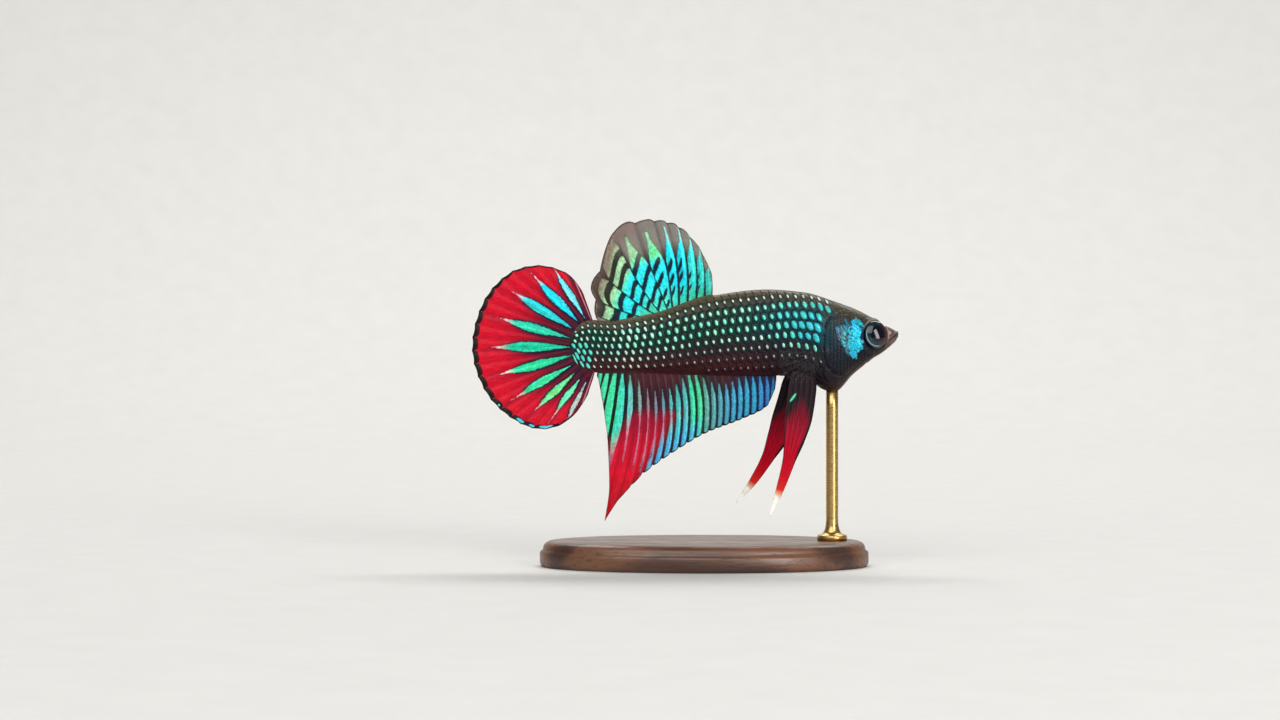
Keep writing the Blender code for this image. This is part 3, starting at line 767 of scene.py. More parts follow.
rng = np.random.default_rng(5)
scale_roots = []
scale_slopes = []
for row, back, angle in scale_spots:
    pitch = float(smooth(COLUMN_PITCH, back))
    half_angle = scale_half_angle(row, back, angle)
    glow = GLOW_ROWS[row] if 0 <= row < len(GLOW_ROWS) else 0.0
    for side in ((1,) if row in (MID_BACK, MID_BELLY) else (-1, 1)):
        jitter = rng.uniform(0.96, 1.04)
        scale_roots.append((back - 0.4 * pitch, angle, side, SCALE_LENGTH * pitch * jitter, half_angle,
                            rng.uniform(), glow))
        scale_slopes.append(BACK_SLOPE if row < 0 else SCALE_SLOPE)
scale_slopes = np.array(scale_slopes)


def scale_rise(x, y, share, number):
    """The rear edge stands proud, and the sides and the rim curl down."""
    return 0.03 + scale_slopes[number] * x - 0.05 * y * y - 0.02 * share ** 6


make_plates("body_scales", scale_roots, scale_rise, scale_finish, lean=0.2, square=2.3, spokes=18,
            ragged=0.02)

# %% [markdown]
# ## Spots
# The iridescent part of a scale is an oval of reflecting crystals in its middle, taller than long and
# leaning back at the top. Ovals are small and mint at the rear, and grow into broad turquoise patches
# behind the head. Low rows have faint grey-mauve ones. Each oval is a low dome on its scale.

# %% Spot finish and meshes
spot_finish, w, shader = new_finish("iridescent_spots", shine=0.4, coat=0.3, coat_blur=0.08, metal=0.15)
base = w.ramp("tone", ((0.0, 84, 72, 80), (0.18, 132, 136, 138), (0.34, 204, 222, 200),
                       (0.48, 150, 238, 206), (0.62, 80, 216, 194), (0.8, 34, 188, 188),
                       (1.0, 22, 184, 206)))
flecked = w.use(glitter, {"Color": base, "Fleck Scale": 7000.0, "Strength": 0.5})
rimmed = w.coats(flecked["Color"], (w.fade("lead", -0.9, 0.3, 0.55, 0.0), 6, 104, 96),
                 (w.fade("rim", 0.7, 1.0, 0.0, 0.5), 10, 70, 66))
grey_spot = w.fade("tone", 0.2, 0.4, 1.0, 0.0)
spot_color = w.mix(grey_spot, rimmed, flecked["Color"])
w.surface(shader, spot_color, flecked["Roughness"], flecked["Height"], 0.3, 0.00004)

SPOT_FRONT = (0.18, 0.36, 0.46, 0.5, 0.44, 0.27, 0.12, 0.08, 0.06, 0.05)
SPOT_MIDDLE = (0.17, 0.23, 0.24, 0.23, 0.19, 0.14, 0.12, 0.1, 0.08, 0.06)
SPOT_TAIL = (0.18, 0.23, 0.24, 0.24, 0.23, 0.2, 0.17, 0.13, 0.1, 0.08)
SPOT_END_SHARE = 0.7
TOP_ROW_SHIFT = 0.3
TAIL_SPOT = 0.27
TAIL_SPOT_TONE = 0.66
LAST_LONG_ROW = 6
LOW_ROWS_START = 17
TONE_FRONT = (0.36, 0.72, 0.88, 0.94, 0.86, 0.6, 0.2, 0.08, 0.03, 0.02)
TONE_MIDDLE = (0.36, 0.47, 0.52, 0.52, 0.4, 0.24, 0.17, 0.14, 0.1, 0.05)
TONE_TAIL = (0.36, 0.42, 0.44, 0.46, 0.42, 0.36, 0.32, 0.26, 0.2, 0.1)


def along_body(front, middle, tail, row, back):
    """Value of a row at one distance behind the snout, from its front, middle and tail values."""
    stops = ((12.5, front[row]), (20.5, middle[row]), (30.0, middle[row]), (38.0, tail[row]))
    return float(smooth(stops, back))


spot_roots = []
spot_square = []
for row, back, angle in scale_spots:
    if not 0 <= row <= LAST_ROW or (row > LAST_LONG_ROW and back < LOW_ROWS_START):
        continue
    size = along_body(SPOT_FRONT, SPOT_MIDDLE, SPOT_TAIL, row, back)
    tone = along_body(TONE_FRONT, TONE_MIDDLE, TONE_TAIL, row, back)
    size = size * (1 - (1 - SPOT_END_SHARE) * float(fade(38.0, 41.5, back)))
    if back > TAIL_ROUND and 3 <= row <= LAST_LONG_ROW:
        size, tone = TAIL_SPOT, TAIL_SPOT_TONE
    slim = 1.25 + 0.35 * float(fade(0.45, 0.25, size) if size < 0.45 else 0)
    for side in (-1, 1):
        length = size * rng.uniform(0.88, 1.12)
        tall = length * slim * rng.uniform(0.92, 1.1)
        place = back + TOP_ROW_SHIFT * (row == 0) + rng.uniform(-0.05, 0.05)
        spot_roots.append((place, angle, side, length, tall / per_radian(back, angle),
                           np.clip(tone + rng.uniform(-0.07, 0.07), 0, 1), 0.0))
        spot_square.append(2.0 + 1.2 * float(fade(0.38, 0.5, size)))
spot_lengths = np.array([root[3] for root in spot_roots])


def spot_rise(x, y, share, number):
    """A low dome that tilts with its scale."""
    return 0.075 + 0.07 * x * spot_lengths[number] + 0.04 * (1 - share ** 2)


make_plates("body_spots", spot_roots, spot_rise, spot_finish, rings=2, spokes=16, lean=0.24,
            drop=0.07, square=spot_square, ragged=0.08)

# %% [markdown]
# ## The bright cheek
# Behind the eye, small crumpled scales catch the light like foil: bright cyan next to the eye, and
# teal further back on the gill cover. They are plates too, of uneven size. Each point of a plate's top
# is lifted or sunk a little at random, so that every facet shines at its own angle.

# %% Cheek plates
foil_finish, w, shader = new_finish("cheek_foil", shine=0.35, coat=0.25, coat_blur=0.06, metal=0.2)
base = w.ramp("tone", ((0.0, 10, 40, 66), (0.25, 10, 72, 104), (0.45, 34, 126, 132),
                       (0.62, 26, 162, 172), (0.8, 2, 172, 208), (1.0, 24, 210, 242)))
flecked = w.use(glitter, {"Color": base, "Fleck Scale": 5200.0, "Strength": 0.7})
rimmed = w.mix(w.fade("rim", 0.7, 1.0, 0.0, 0.65), flecked["Color"], paint(4, 52, 84))
w.surface(shader, rimmed, flecked["Roughness"], flecked["Height"], 0.5, 0.00006)

FOIL_PITCH = 0.4
FOIL_COLUMNS = 15
FOIL_ROWS = 17
FOIL_RINGS = 3
FOIL_SPOKES = 10
FOIL_START = (4.8, -3.5)
FOIL_RADIUS = 3.6
foil_roots = []
for column in range(FOIL_COLUMNS):
    for row in range(FOIL_ROWS):
        back = FOIL_START[0] + FOIL_PITCH * 0.84 * column + rng.uniform(-0.13, 0.13)
        height = FOIL_START[1] + FOIL_PITCH * (row + 0.5 * (column % 2)) + rng.uniform(-0.13, 0.13)
        shown = float(cheek_patch(back, height))
        if shown < 0.4 + rng.uniform(-0.2, 0.2):
            continue
        angle = float(angle_at(back, height))
        glow = 0.94 - 0.46 * max(0.0, abs(back - 6.1) - 0.4) - 0.14 * max(0.0, abs(height + 0.1) - 1.2)
        for side in (-1, 1):
            deep = rng.uniform() < 0.06 + 0.36 * float(fade(6.7, 7.4, back))
            tone = 0.2 if deep else max(glow, 0.5) * (0.6 + 0.4 * shown)
            size = FOIL_PITCH * rng.uniform(0.6, 0.95)
            foil_roots.append((back, angle, side, size, size * rng.uniform(0.9, 1.5) / FOIL_RADIUS,
                               np.clip(tone + rng.uniform(-0.12, 0.08), 0, 1), 0.0))
foil_ruffle = rng.uniform(-0.04, 0.04, (len(foil_roots), 1 + (FOIL_RINGS + 1) * FOIL_SPOKES))
foil_sink = rng.uniform(-0.03, 0.02, len(foil_roots))


def foil_rise(x, y, share, number):
    """A crumpled dome, raised at the rear."""
    crumple = foil_ruffle[number, np.arange(share.size)]
    return 0.05 + 0.05 * x - 0.03 * y + 0.03 * (1 - share ** 2) + crumple + foil_sink[number]


make_plates("cheek_scales", foil_roots, foil_rise, foil_finish, rings=FOIL_RINGS,
            spokes=FOIL_SPOKES, lean=0.3, square=2.6, ragged=0.2)

# %% [markdown]
# ## Small scales on the head
# The skull and the gill cover carry small flat scales of the ground colour. They lie close and hardly
# stand out, so they only break up the shine.

# %% Head scales
HEAD_SCALE_PITCH = 0.62
HEAD_SCALE_START = 3.6
HEAD_SCALE_COLUMNS = 13
HEAD_SCALE_ROWS = 26
head_roots = []
for column in range(HEAD_SCALE_COLUMNS):
    for row in range(HEAD_SCALE_ROWS):
        back = HEAD_SCALE_START + HEAD_SCALE_PITCH * 0.8 * column + rng.uniform(-0.05, 0.05)
        share = (row + 0.5 * (column % 2)) / (HEAD_SCALE_ROWS - 1)
        top, _, bottom, _ = slice_edges(back)
        height = float(top - share * (top - bottom))
        clear_of_eye = from_eye(back, height) > 2.35
        on_cover = from_gill_edge(back, height) < -0.35 or back < 8.4
        on_cheek = float(cheek_patch(back, height)) > 0.3
        if not (clear_of_eye and on_cover) or on_cheek or not 0.06 < share < 0.86:
            continue
        angle = float(angle_at(back, height))
        half_angle = HEAD_SCALE_PITCH * 0.55 / per_radian(back, angle)
        for side in (-1, 1):
            head_roots.append((back, angle, side, HEAD_SCALE_PITCH * 0.62, half_angle, rng.uniform(), 0.0))


def head_scale_rise(x, y, share, number):
    """Nearly flat, a little raised at the rear."""
    return 0.008 + 0.02 * x - 0.015 * y * y


make_plates("head_scales", head_roots, head_scale_rise, scale_finish, rings=2, spokes=12,
            drop=0.05, square=2.3, ragged=0.06)

# %% [markdown]
# ## Eyes
# A fish's eye is a low dome with no lids. A museum maker paints the iris on the back of a glass dome.
# Here the dome is one closed, very glossy shape, turned a little forward and up, and the rings of the
# iris are painted by how far each point is from the middle: a navy pupil, a dark iris with a teal rear
# and a brown front, and a thin blue-grey line low at the back.

# %% Eye finish and meshes
eye_finish, w, shader = new_finish("glass_eye", shine=0.15, coat=0.6, coat_blur=0.02)
iris = w.mix(w.fade("fore", -0.2, 0.7), paint(16, 52, 62), paint(58, 26, 30))
streaks = w.noise(2600.0, 3.0)
iris = w.coats(iris, (w.fade("up", 0.2, 1.0, 0.0, 0.6), 16, 24, 36),
               (w.fade(streaks, 0.4, 0.65, 0.0, 0.55), 10, 18, 26))
color = w.mix(w.fade("radius", 1.02, 1.18), paint(4, 6, 20), iris)
thin_ring = w.fade(w.apart("radius", 1.58), 0.02, 0.09, 1.0, 0.0)
low_and_back = w.fade(w.plus("fore", w.times("up", 0.9)), -0.95, -0.35, 1.0, 0.0)
color = w.coats(color, (w.times(thin_ring, low_and_back), 134, 154, 162),
                (w.fade("radius", 1.7, 1.78), 8, 12, 24))
w.feed(shader["Base Color"], color)
w.feed(shader["Roughness"], w.fade(streaks, 0.3, 0.7, 0.03, 0.09))

EYE_HALF_DEPTH = 0.95
EYE_FORWARD = math.radians(16)
EYE_UP = math.radians(8)
EYE_RINGS = 48
EYE_AROUND = 72


def make_eye(side, word):
    """One eyeball: a flattened ball about its own axis."""
    facing = unit(np.array((-math.sin(EYE_FORWARD), math.sin(EYE_UP), side * math.cos(EYE_FORWARD))))
    upward = unit(np.array((0.0, 1.0, 0.0)) - facing[1] * facing)
    forward = np.cross(upward, facing)
    forward = forward if forward[0] < 0 else -forward
    polar, turn = np.meshgrid(np.linspace(0, math.pi, EYE_RINGS), circle(EYE_AROUND), indexing="ij")
    reach = EYE_RADIUS * np.sin(polar)
    rise = EYE_HALF_DEPTH * np.cos(polar)
    places = (np.array((EYE_AT[0], EYE_AT[1], side * EYE_AT[2])) + facing * rise[..., None]
              + forward * (EYE_LONG * reach * np.cos(turn))[..., None]
              + upward * (EYE_TALL * reach * np.sin(turn))[..., None])
    faces, rows, columns = grid_faces(EYE_RINGS, EYE_AROUND, wrap=True)
    half = (rows / (EYE_RINGS - 1)) * 0.49
    spin = 2 * math.pi * columns / EYE_AROUND
    uv = np.stack((0.5 + half * np.cos(spin), 0.5 + half * np.sin(spin)), -1)
    reach_kept = np.where(polar < math.pi / 2, reach, EYE_RADIUS)
    numbers = {"radius": reach_kept, "fore": np.cos(turn), "up": np.sin(turn)}
    make_piece(f"eye_{word}_glass", places, faces.tolist(), uv, numbers, eye_finish,
               (f"eye_{word}",))


make_eye(-1, "right")
make_eye(1, "left")

# %% [markdown]
# ## Fins as thin two-sided sheets
# A fin is a web of skin on bony rays. Seen edge on it is folded like a fan: each ray is a ridge and
# the web between two rays hangs back. One function builds any fin from a rule for its middle sheet and
# one for its thickness. Its mesh keeps the ray number, the share of the way to the margin, and how far
# each point is from the margin and from the marks, in millimetres.

# %% Fin maker
ROOT_THICK = 0.5
WEB_THICK = 0.14
RIDGE = 0.16
EDGE_THICK = 0.06
SIDE_STEP = 1e-3


def fin_thickness(ray, v):
    """Thickness of a fin: a thin web, ridges on the rays, thicker at the root and thin at the margin."""
    ridge = RIDGE * (0.5 + 0.5 * np.cos(2 * math.pi * ray)) ** 3
    body = WEB_THICK + (ROOT_THICK - WEB_THICK) * np.exp(-v / 0.12) + ridge
    return EDGE_THICK + (body - EDGE_THICK) * fade(0, 0.12, 1 - v)


def fin_sheet(node, middle, rays, per_ray, rows, numbers, finish):
    """A closed two-sided fin. middle(u, v) lies on its middle sheet, numbers(u, v) are kept on it."""
    columns = rays * per_ray
    u, v = np.meshgrid(np.linspace(0, 1, columns + 1), np.linspace(0, 1, rows + 1), indexing="ij")
    here = middle(u, v)
    along = middle(np.minimum(u + SIDE_STEP, 1), v) - middle(np.maximum(u - SIDE_STEP, 0), v)
    outward = middle(u, np.minimum(v + SIDE_STEP, 1)) - middle(u, np.maximum(v - SIDE_STEP, 0))
    half = unit(np.cross(along, outward)) * fin_thickness(u * rays, v)[..., None] / 2
    points = np.concatenate(((here + half).reshape(-1, 3), (here - half).reshape(-1, 3)))
    faces, _, _ = grid_faces(columns + 1, rows + 1)
    count = (columns + 1) * (rows + 1)
    rim = [(i, 0) for i in range(columns)] + [(columns, j) for j in range(rows)]
    rim += [(i, rows) for i in range(columns, 0, -1)] + [(0, j) for j in range(rows, 0, -1)]
    rim = np.array([i * (rows + 1) + j for i, j in rim])
    after = np.roll(rim, -1)
    rim_faces = np.stack((rim, rim + count, after + count, after), -1)
    flat = np.stack((0.01 + 0.48 * u, 0.01 + 0.98 * v), -1).reshape(-1, 2)
    all_faces = np.concatenate((faces, faces + count, rim_faces))
    corner_uv = np.concatenate((flat[faces], flat[faces] + (0.5, 0), flat[rim_faces % count]))
    kept = {}
    for key, value in numbers(u, v).items():
        kept[key] = np.tile(np.broadcast_to(value, u.shape).ravel(), 2)
    make_piece(node + "_web", points, all_faces.tolist(), corner_uv, kept, finish, (node,))


def sideways_step(sheet, u, v):
    """How far the sheet runs in side view over a small step of u, and where that step ends and starts."""
    after, before = np.minimum(u + SIDE_STEP, 1), np.maximum(u - SIDE_STEP, 0)
    apart = sheet(after, v) - sheet(before, v)
    return np.hypot(apart[..., 0], apart[..., 1]), after, before


def scallop(ray, depth):
    """Length of the margin: full on each ray, less between two rays."""
    return 1 - depth * np.abs(np.sin(math.pi * ray))


def pleat(ray, v, size):
    """How far the sheet swings to the side on the rays and between them."""
    return size * np.cos(2 * math.pi * ray) * fade(0.1, 0.6, v)


on_ray_and_web = fin_thickness(np.array((0.0, 0.5)), 0.5)
print("fin thickness on a ray and between two, in mm:", np.round(on_ray_and_web, 2).tolist())

# %% [markdown]
# ## Marks on the fins
# Every fin has the same make-up: a field colour, bright iridescent marks with uneven edges and a dark
# outline, and a dark margin. The group below lays these over each other. It takes the distance to a
# mark's edge in millimetres, plus inside, and shifts it by a cloudy noise, so that edges look grown.

# %% Shared group: fin paint
fin_inputs = {"Field": paint(180, 10, 30), "Bright": paint(40, 200, 170), "Outline": paint(20, 16, 34),
              "Margin": paint(40, 18, 20), "Mark": 0.0, "Outline Width": 0.16, "Edge": 5.0,
              "Margin Width": 0.6, "Wobble": 0.16, "Ray": 0.0, "Along": 0.0}
fin_outputs = {"Color": "Color", "Bright Mask": "Float", "Roughness": "Float", "Height": "Float"}
w, entry, leave = new_group("fin_paint", fin_inputs, fin_outputs)
wobble = w.times(w.less(w.noise(2600.0, 3.0), 0.5), entry["Wobble"])
mark = w.plus(entry["Mark"], w.times(wobble, 2.0))
bright_mask = w.fade(mark, -0.04, 0.05)
outline_mask = w.fade(w.plus(mark, entry["Outline Width"]), -0.1, 0.08)
rim_mask = w.fade(w.less(w.plus(entry["Edge"], wobble), entry["Margin Width"]), -0.06, 0.06, 1.0, 0.0)
# Painted light and shade of the folds: streaks that run along the rays make the field and the marks
# lighter and darker.
fold_sheen_place = w.node("CombineXYZ", {0: w.times(entry["Ray"], 9.0), 1: w.times(entry["Along"], 16.0)})
painted_fold_sheen = w.node("TexNoise", {"Vector": fold_sheen_place, "Scale": 1.0, "Detail": 3.0})
field_with_painted_sheen = w.node("HueSaturation", {"Color": entry["Field"], "Value": w.fade(painted_fold_sheen, 0.3, 0.7, 0.78, 1.16)})
grown_field = w.use(mottle, {"Color": field_with_painted_sheen, "Patch Scale": 800.0, "Strength": 0.16})
flecked = w.use(glitter, {"Color": entry["Bright"], "Fleck Scale": 7000.0, "Strength": 0.4})
marks_with_painted_sheen = w.node("HueSaturation", {"Color": flecked["Color"], "Value": w.fade(painted_fold_sheen, 0.32, 0.68, 0.74, 1.14)})
deep_edge = w.fade(mark, 0.02, 0.16, 0.3, 0.0)
marks_with_painted_sheen = w.mix(deep_edge, marks_with_painted_sheen, entry["Outline"])
color = w.mix(outline_mask, grown_field["Color"], entry["Outline"])
color = w.mix(bright_mask, color, marks_with_painted_sheen)
color = w.mix(rim_mask, color, entry["Margin"])
w.feed(leave["Color"], color)
w.feed(leave["Bright Mask"], w.times(bright_mask, w.less(1.0, rim_mask)))
dull = w.fade(grown_field["Height"], 0.3, 0.7, 0.36, 0.52)
w.feed(leave["Roughness"], w.plus(w.times(bright_mask, -0.1), dull))
w.feed(leave["Height"], w.plus(w.times(flecked["Height"], bright_mask), grown_field["Height"]))
fin_paint = w.tree
print("groups:", [group.name for group in bpy.data.node_groups])


def paint_fin(w, shader, inputs):
    """Feeds a fin's shader from the shared group, and gives back the group's outputs."""
    usual = {"Mark": "mark", "Edge": "edge", "Ray": "ray"}
    painted = w.use(fin_paint, {**usual, **inputs})
    w.surface(shader, painted["Color"], painted["Roughness"], painted["Height"], 0.3, 0.00008)
    w.feed(shader["Metallic"], w.times(painted["Bright Mask"], 0.2))
    return painted

# %% [markdown]
# ## Tail fin
# The tail is a round fan. Ten turquoise and green streaks start as points near its root, swell, and end
# in thin pale tips. Between them the web goes from maroon to bright red, and a dark scalloped band with
# a few turquoise dots runs round the margin. The fan could be cut from a flat sheet. Here it also waves
# a little, as the fin of a hovering fish does.

# %% Tail fin shape
FAN_AT = (41.45, -1.35)
FAN_TOP = 70.0
FAN_BOTTOM = -73.0
FAN_INNER = 3.2
FAN_RAYS = 24
FAN_REACH = ((-73, 7.0), (-68, 10.0), (-60, 12.9), (-50, 14.9), (-38, 16.2), (-20, 17.6), (0, 18.3),
             (20, 17.95), (38, 16.8), (50, 15.0), (60, 12.7), (66, 10.9), (70, 8.4))


def fan_polar(u, v):
    """Angle in degrees, distance from the fan's middle, and length of the ray there."""
    angle = FAN_TOP + (FAN_BOTTOM - FAN_TOP) * u
    reach = smooth(FAN_REACH, angle) * scallop(u * FAN_RAYS, 0.009)
    return angle, FAN_INNER + (reach - FAN_INNER) * v, reach


def tail_fin_sheet(u, v):
    """Middle sheet of the tail fin."""
    angle, r, _ = fan_polar(u, v)
    turn = np.radians(angle)
    wave = 0.55 * np.sin(5.5 * u + 0.6) * v * v + pleat(u * FAN_RAYS, v, 0.1)
    return np.stack((FAN_AT[0] + r * np.cos(turn), FAN_AT[1] + r * np.sin(turn), wave), -1)


print("longest tail ray:", max(reach for _, reach in FAN_REACH), "mm")

# %% [markdown]
# ## Marks of the tail
# Each streak of the real fish is skin full of crystals between two rays. A painter would draw it as a
# long leaf, and so does this cell. The mesh keeps how many millimetres inside or outside the nearest
# leaf each point is, because a distance gives a sharp edge however near the view is.

# %% Tail fin marks
# Each streak: its angle, the shares of the ray where it starts, narrows and ends, and its half width in
# degrees
STREAKS = ((58.5, 0.36, 0.93, 0.99, 3.0), (46.0, 0.3, 0.83, 0.935, 3.6), (31.6, 0.29, 0.8, 0.87, 3.7),
           (15.6, 0.265, 0.78, 0.875, 3.6), (0.0, 0.23, 0.79, 0.85, 4.0), (-15.0, 0.25, 0.78, 0.855, 3.6),
           (-30.0, 0.3, 0.79, 0.885, 3.3), (-43.0, 0.34, 0.78, 0.89, 3.1), (-54.5, 0.39, 0.78, 0.95, 2.9),
           (-64.5, 0.48, 0.99, 1.01, 1.8))
# Each dot on the dark band: its angle, and half its length and width in millimetres
BAND_DOTS = ((-29.3, 0.24, 0.15), (-35.5, 0.12, 0.09), (-41.8, 0.62, 0.23), (-48.0, 0.44, 0.19),
             (-54.5, 0.8, 0.23))
BAND_WIDTH = ((-73.0, 0.3), (-62.0, 0.5), (-54.0, 0.66), (-40.0, 0.74), (0.0, 0.78), (25.0, 0.62),
              (42.0, 0.32), (70.0, 0.25))
LEAF = ((0.0, 0.0), (0.05, 0.22), (0.2, 0.62), (0.45, 1.0), (0.6, 0.96), (0.75, 0.72), (0.88, 0.42),
        (0.96, 0.24), (1.0, 0.16))
OFF_ALL = -9.0


def streak_distance(angle, r, share, spread=0.0, turn=0.0):
    """Distance inside the nearest streak in millimetres, and how far along that streak a point is."""
    best = np.full(angle.shape, OFF_ALL)
    along = np.zeros(angle.shape)
    for middle, start, narrow, end, half in STREAKS:
        t = (share - start) / (narrow - start)
        tail = np.clip((end - share) / (end - narrow), 0, 1)
        width = np.where(t < 1, smooth(LEAF, t), LEAF[-1][1] * tail)
        reach_in = np.radians(half * width + spread - np.abs(angle - middle - turn)) * r
        short = np.minimum(share - start, end - share) * 16
        inside = np.minimum(reach_in, short + spread)
        along = np.where(inside > best, t, along)
        best = np.maximum(best, inside)
    return best, along


def tail_numbers(u, v):
    """Paint numbers of the tail fin: streaks, their shade, dots and the dark band."""
    angle, r, reach = fan_polar(u, v)
    share = r / reach
    mark, along = streak_distance(angle, r, share)
    shade, _ = streak_distance(angle, r, share, spread=1.1, turn=-0.7)
    dots = np.full(u.shape, OFF_ALL)
    for middle, long, wide in BAND_DOTS:
        across = np.radians(angle - middle) * r
        from_dot = np.hypot(across / long, (reach - r - 0.12 - wide) / wide)
        dots = np.maximum(dots, (1 - from_dot) * wide)
    return {"across": u, "reach": share, "mark": mark, "shade": shade, "ray": u * FAN_RAYS, "along": along,
            "dots": dots, "edge": reach - r, "band": smooth(BAND_WIDTH, angle)}


print("tail streaks:", len(STREAKS), "and dots:", len(BAND_DOTS))

# %% [markdown]
# ## Finish of the tail
# The red is laid first. It darkens on the rays and towards the root, and a painted highlight of the
# folds makes it lighter on each ray and halfway between two rays. The streaks change from blue at the
# top of the fan through green in the middle to a pale one at the bottom. Ramps over the share of the
# way round the fan give these changes with few numbers.

# %% Tail fin finish and mesh
tail_finish, w, shader = new_finish("red_tail_web", shine=0.1, coat=0.03, coat_blur=0.15)
red = w.ramp("reach", ((0.2, 52, 24, 32), (0.36, 74, 18, 34), (0.48, 116, 6, 34), (0.6, 162, 2, 32),
                       (0.74, 188, 4, 36), (0.9, 202, 10, 38)))
fold = w.folds("ray")
# Painted highlight of the folds: a lighter red on each ray and halfway between two rays.
fold_highlight = w.fade(w.folds("ray", 2), 0.6, 1.0, 0.0, 0.1)
dark_root = w.times(w.fade("shade", -0.5, 0.1, 0.0, 0.85), w.fade("reach", 0.42, 0.8, 1.0, 0.25))
from_middle = w.apart("across", 0.5)
first_and_last = w.fade(from_middle, 0.44, 0.47, 0.0, 0.8)
edge_ray = w.times(w.fade(w.apart(from_middle, 0.482), 0.001, 0.005, 0.7, 0.0), w.fade("reach", 0.3, 0.5))
folded = w.coats(red, (w.fade(fold, 0.1, 1.0, 0.0, 0.3), 120, 0, 26), (fold_highlight, 230, 40, 60),
                 (dark_root, 22, 16, 40), (first_and_last, 44, 16, 36), (edge_ray, 206, 140, 146))
streak_color = w.ramp("across", ((0.08, 120, 226, 240), (0.168, 22, 214, 240), (0.268, 44, 204, 208),
                                 (0.38, 48, 206, 170), (0.49, 28, 190, 150), (0.594, 44, 208, 150),
                                 (0.7, 56, 214, 156), (0.79, 118, 230, 150), (0.87, 106, 234, 176),
                                 (0.94, 190, 198, 192)))
tip_share = w.fade("along", 0.84, 1.06)
streak_color = w.mix(tip_share, streak_color, paint(240, 200, 206))
tick = w.fade(w.math("SINE", w.times("ray", math.pi)), -0.14, 0.14, 0.0, 1.0)
between_rays = w.fade(w.apart(tick, 0.5), 0.0, 0.3, 1.0, 0.0)
tick = w.times(between_rays, w.fade(w.apart("edge", 0.5), 0.05, 0.3, 1.0, 0.0))
band = w.mix(w.fade("edge", 0.3, 0.7), paint(26, 12, 16), paint(56, 18, 22))
band = w.coats(band, (w.times(tick, 0.75), 206, 130, 128), (w.fade("dots", -0.01, 0.04), 76, 190, 214))
band_width = w.less("band", w.times(w.fade(fold, 0.2, 1.0), 0.12))
outline_width = w.less(0.15, w.times(tip_share, 0.3))
paint_fin(w, shader, {"Field": folded, "Bright": streak_color, "Outline": paint(16, 14, 44),
                      "Margin": band, "Outline Width": outline_width, "Margin Width": band_width,
                      "Wobble": 0.17, "Along": "reach"})
fin_sheet("tail_fin", tail_fin_sheet, FAN_RAYS, 11, 84, tail_numbers, tail_finish)

# %% [markdown]
# ## Anal fin
# The long fin under the body has a soft ray every millimetre. Each web carries a light stripe, blue
# at the front, green in the middle and at the rear, with black between. A crimson field fills the
# rear lower part down to the point. Its upper stripes fade into the maroon of the belly.

# %% Anal fin shape
ANAL_FRONT = (17.1, -4.6)
ANAL_REAR = (42.1, -4.4)
ANAL_POINT = 0.82
ANAL_RAYS = 25
ANAL_TIP_BACK = ((0.0, 17.4), (0.06, 18.4), (0.2, 21.8), (0.42, 27.0), (0.55, 30.5), (0.71, 35.5),
                 (0.76, 37.4), (0.8, 39.3), (ANAL_POINT, 41.15), (0.845, 40.5), (0.88, 40.7),
                 (0.94, 41.55), (1.0, 42.1))
ANAL_TIP_HEIGHT = ((0.0, -7.5), (0.06, -9.6), (0.2, -11.4), (0.42, -13.4), (0.55, -15.4),
                   (0.71, -18.9), (0.76, -20.8), (0.8, -22.9), (ANAL_POINT, -25.7), (0.845, -20.9),
                   (0.88, -15.0), (0.94, -8.4), (1.0, -5.5))
ANAL_BOW = ((0.0, 0.03), (0.4, 0.05), (0.76, 0.065), (0.84, 0.045), (0.9, 0.0), (1.0, 0.0))


def sweep_fin(front, rear, tips_back, tips_height, bows, u, v, reach, root=None):
    """Places on a fin whose rays run from a base line to their tips, each a little bowed, and the
    length of the ray there."""
    root = u if root is None else root
    base_back = front[0] + (rear[0] - front[0]) * root
    base_height = front[1] + (rear[1] - front[1]) * root
    sweep = smooth(tips_back, u) - base_back
    rise = smooth(tips_height, u) - base_height
    bow = 4 * smooth(bows, u) * v * (1 - v)
    back = base_back + sweep * reach * v + bow * rise
    height = base_height + rise * reach * v - bow * sweep
    return back, height, np.hypot(sweep, rise)


def anal_sweep(u, v, reach):
    """Places back and height on the anal fin, and the length of the ray."""
    return sweep_fin(ANAL_FRONT, ANAL_REAR, ANAL_TIP_BACK, ANAL_TIP_HEIGHT, ANAL_BOW, u, v, reach)


def anal_reach(u):
    """Length of the margin: notched at each ray ahead of the point."""
    notch = 0.022 * np.clip((ANAL_POINT - u) / 0.1, 0, 1)
    return 1 - notch * (1 - np.sqrt(np.abs(np.sin(math.pi * u * ANAL_RAYS))))


def anal_fin_sheet(u, v):
    """Middle sheet of the anal fin."""
    back, height, _ = anal_sweep(u, v, anal_reach(u))
    wave = 0.6 * np.sin(7.0 * u + 0.4) * v * v + pleat(u * ANAL_RAYS, v, 0.09)
    return np.stack((back, height, wave), -1)


lowest = min(height for _, height in ANAL_TIP_HEIGHT)
print("anal fin rays:", ANAL_RAYS, "and its point is at height", lowest, "mm")

# %% [markdown]
# ## Marks of the anal fin
# In life the stripes are skin between two rays. So each sits in the middle of its web, starts a little
# below the body, and gets narrow where the crimson field begins. That field has three nearly straight
# sides. The mesh keeps the distance to them, and the finish makes a soft border of it.

# %% Anal fin marks
STRIPE_START = ((0.0, 0.4), (0.1, 0.1), (0.2, 0.5), (0.3, 1.5), (0.4, 1.3), (0.44, 0.3), (0.5, 0.2),
                (0.54, 0.9), (0.6, 2.0), (0.72, 2.6), (0.78, 1.0), (0.84, 0.3), (1.0, 0.0))


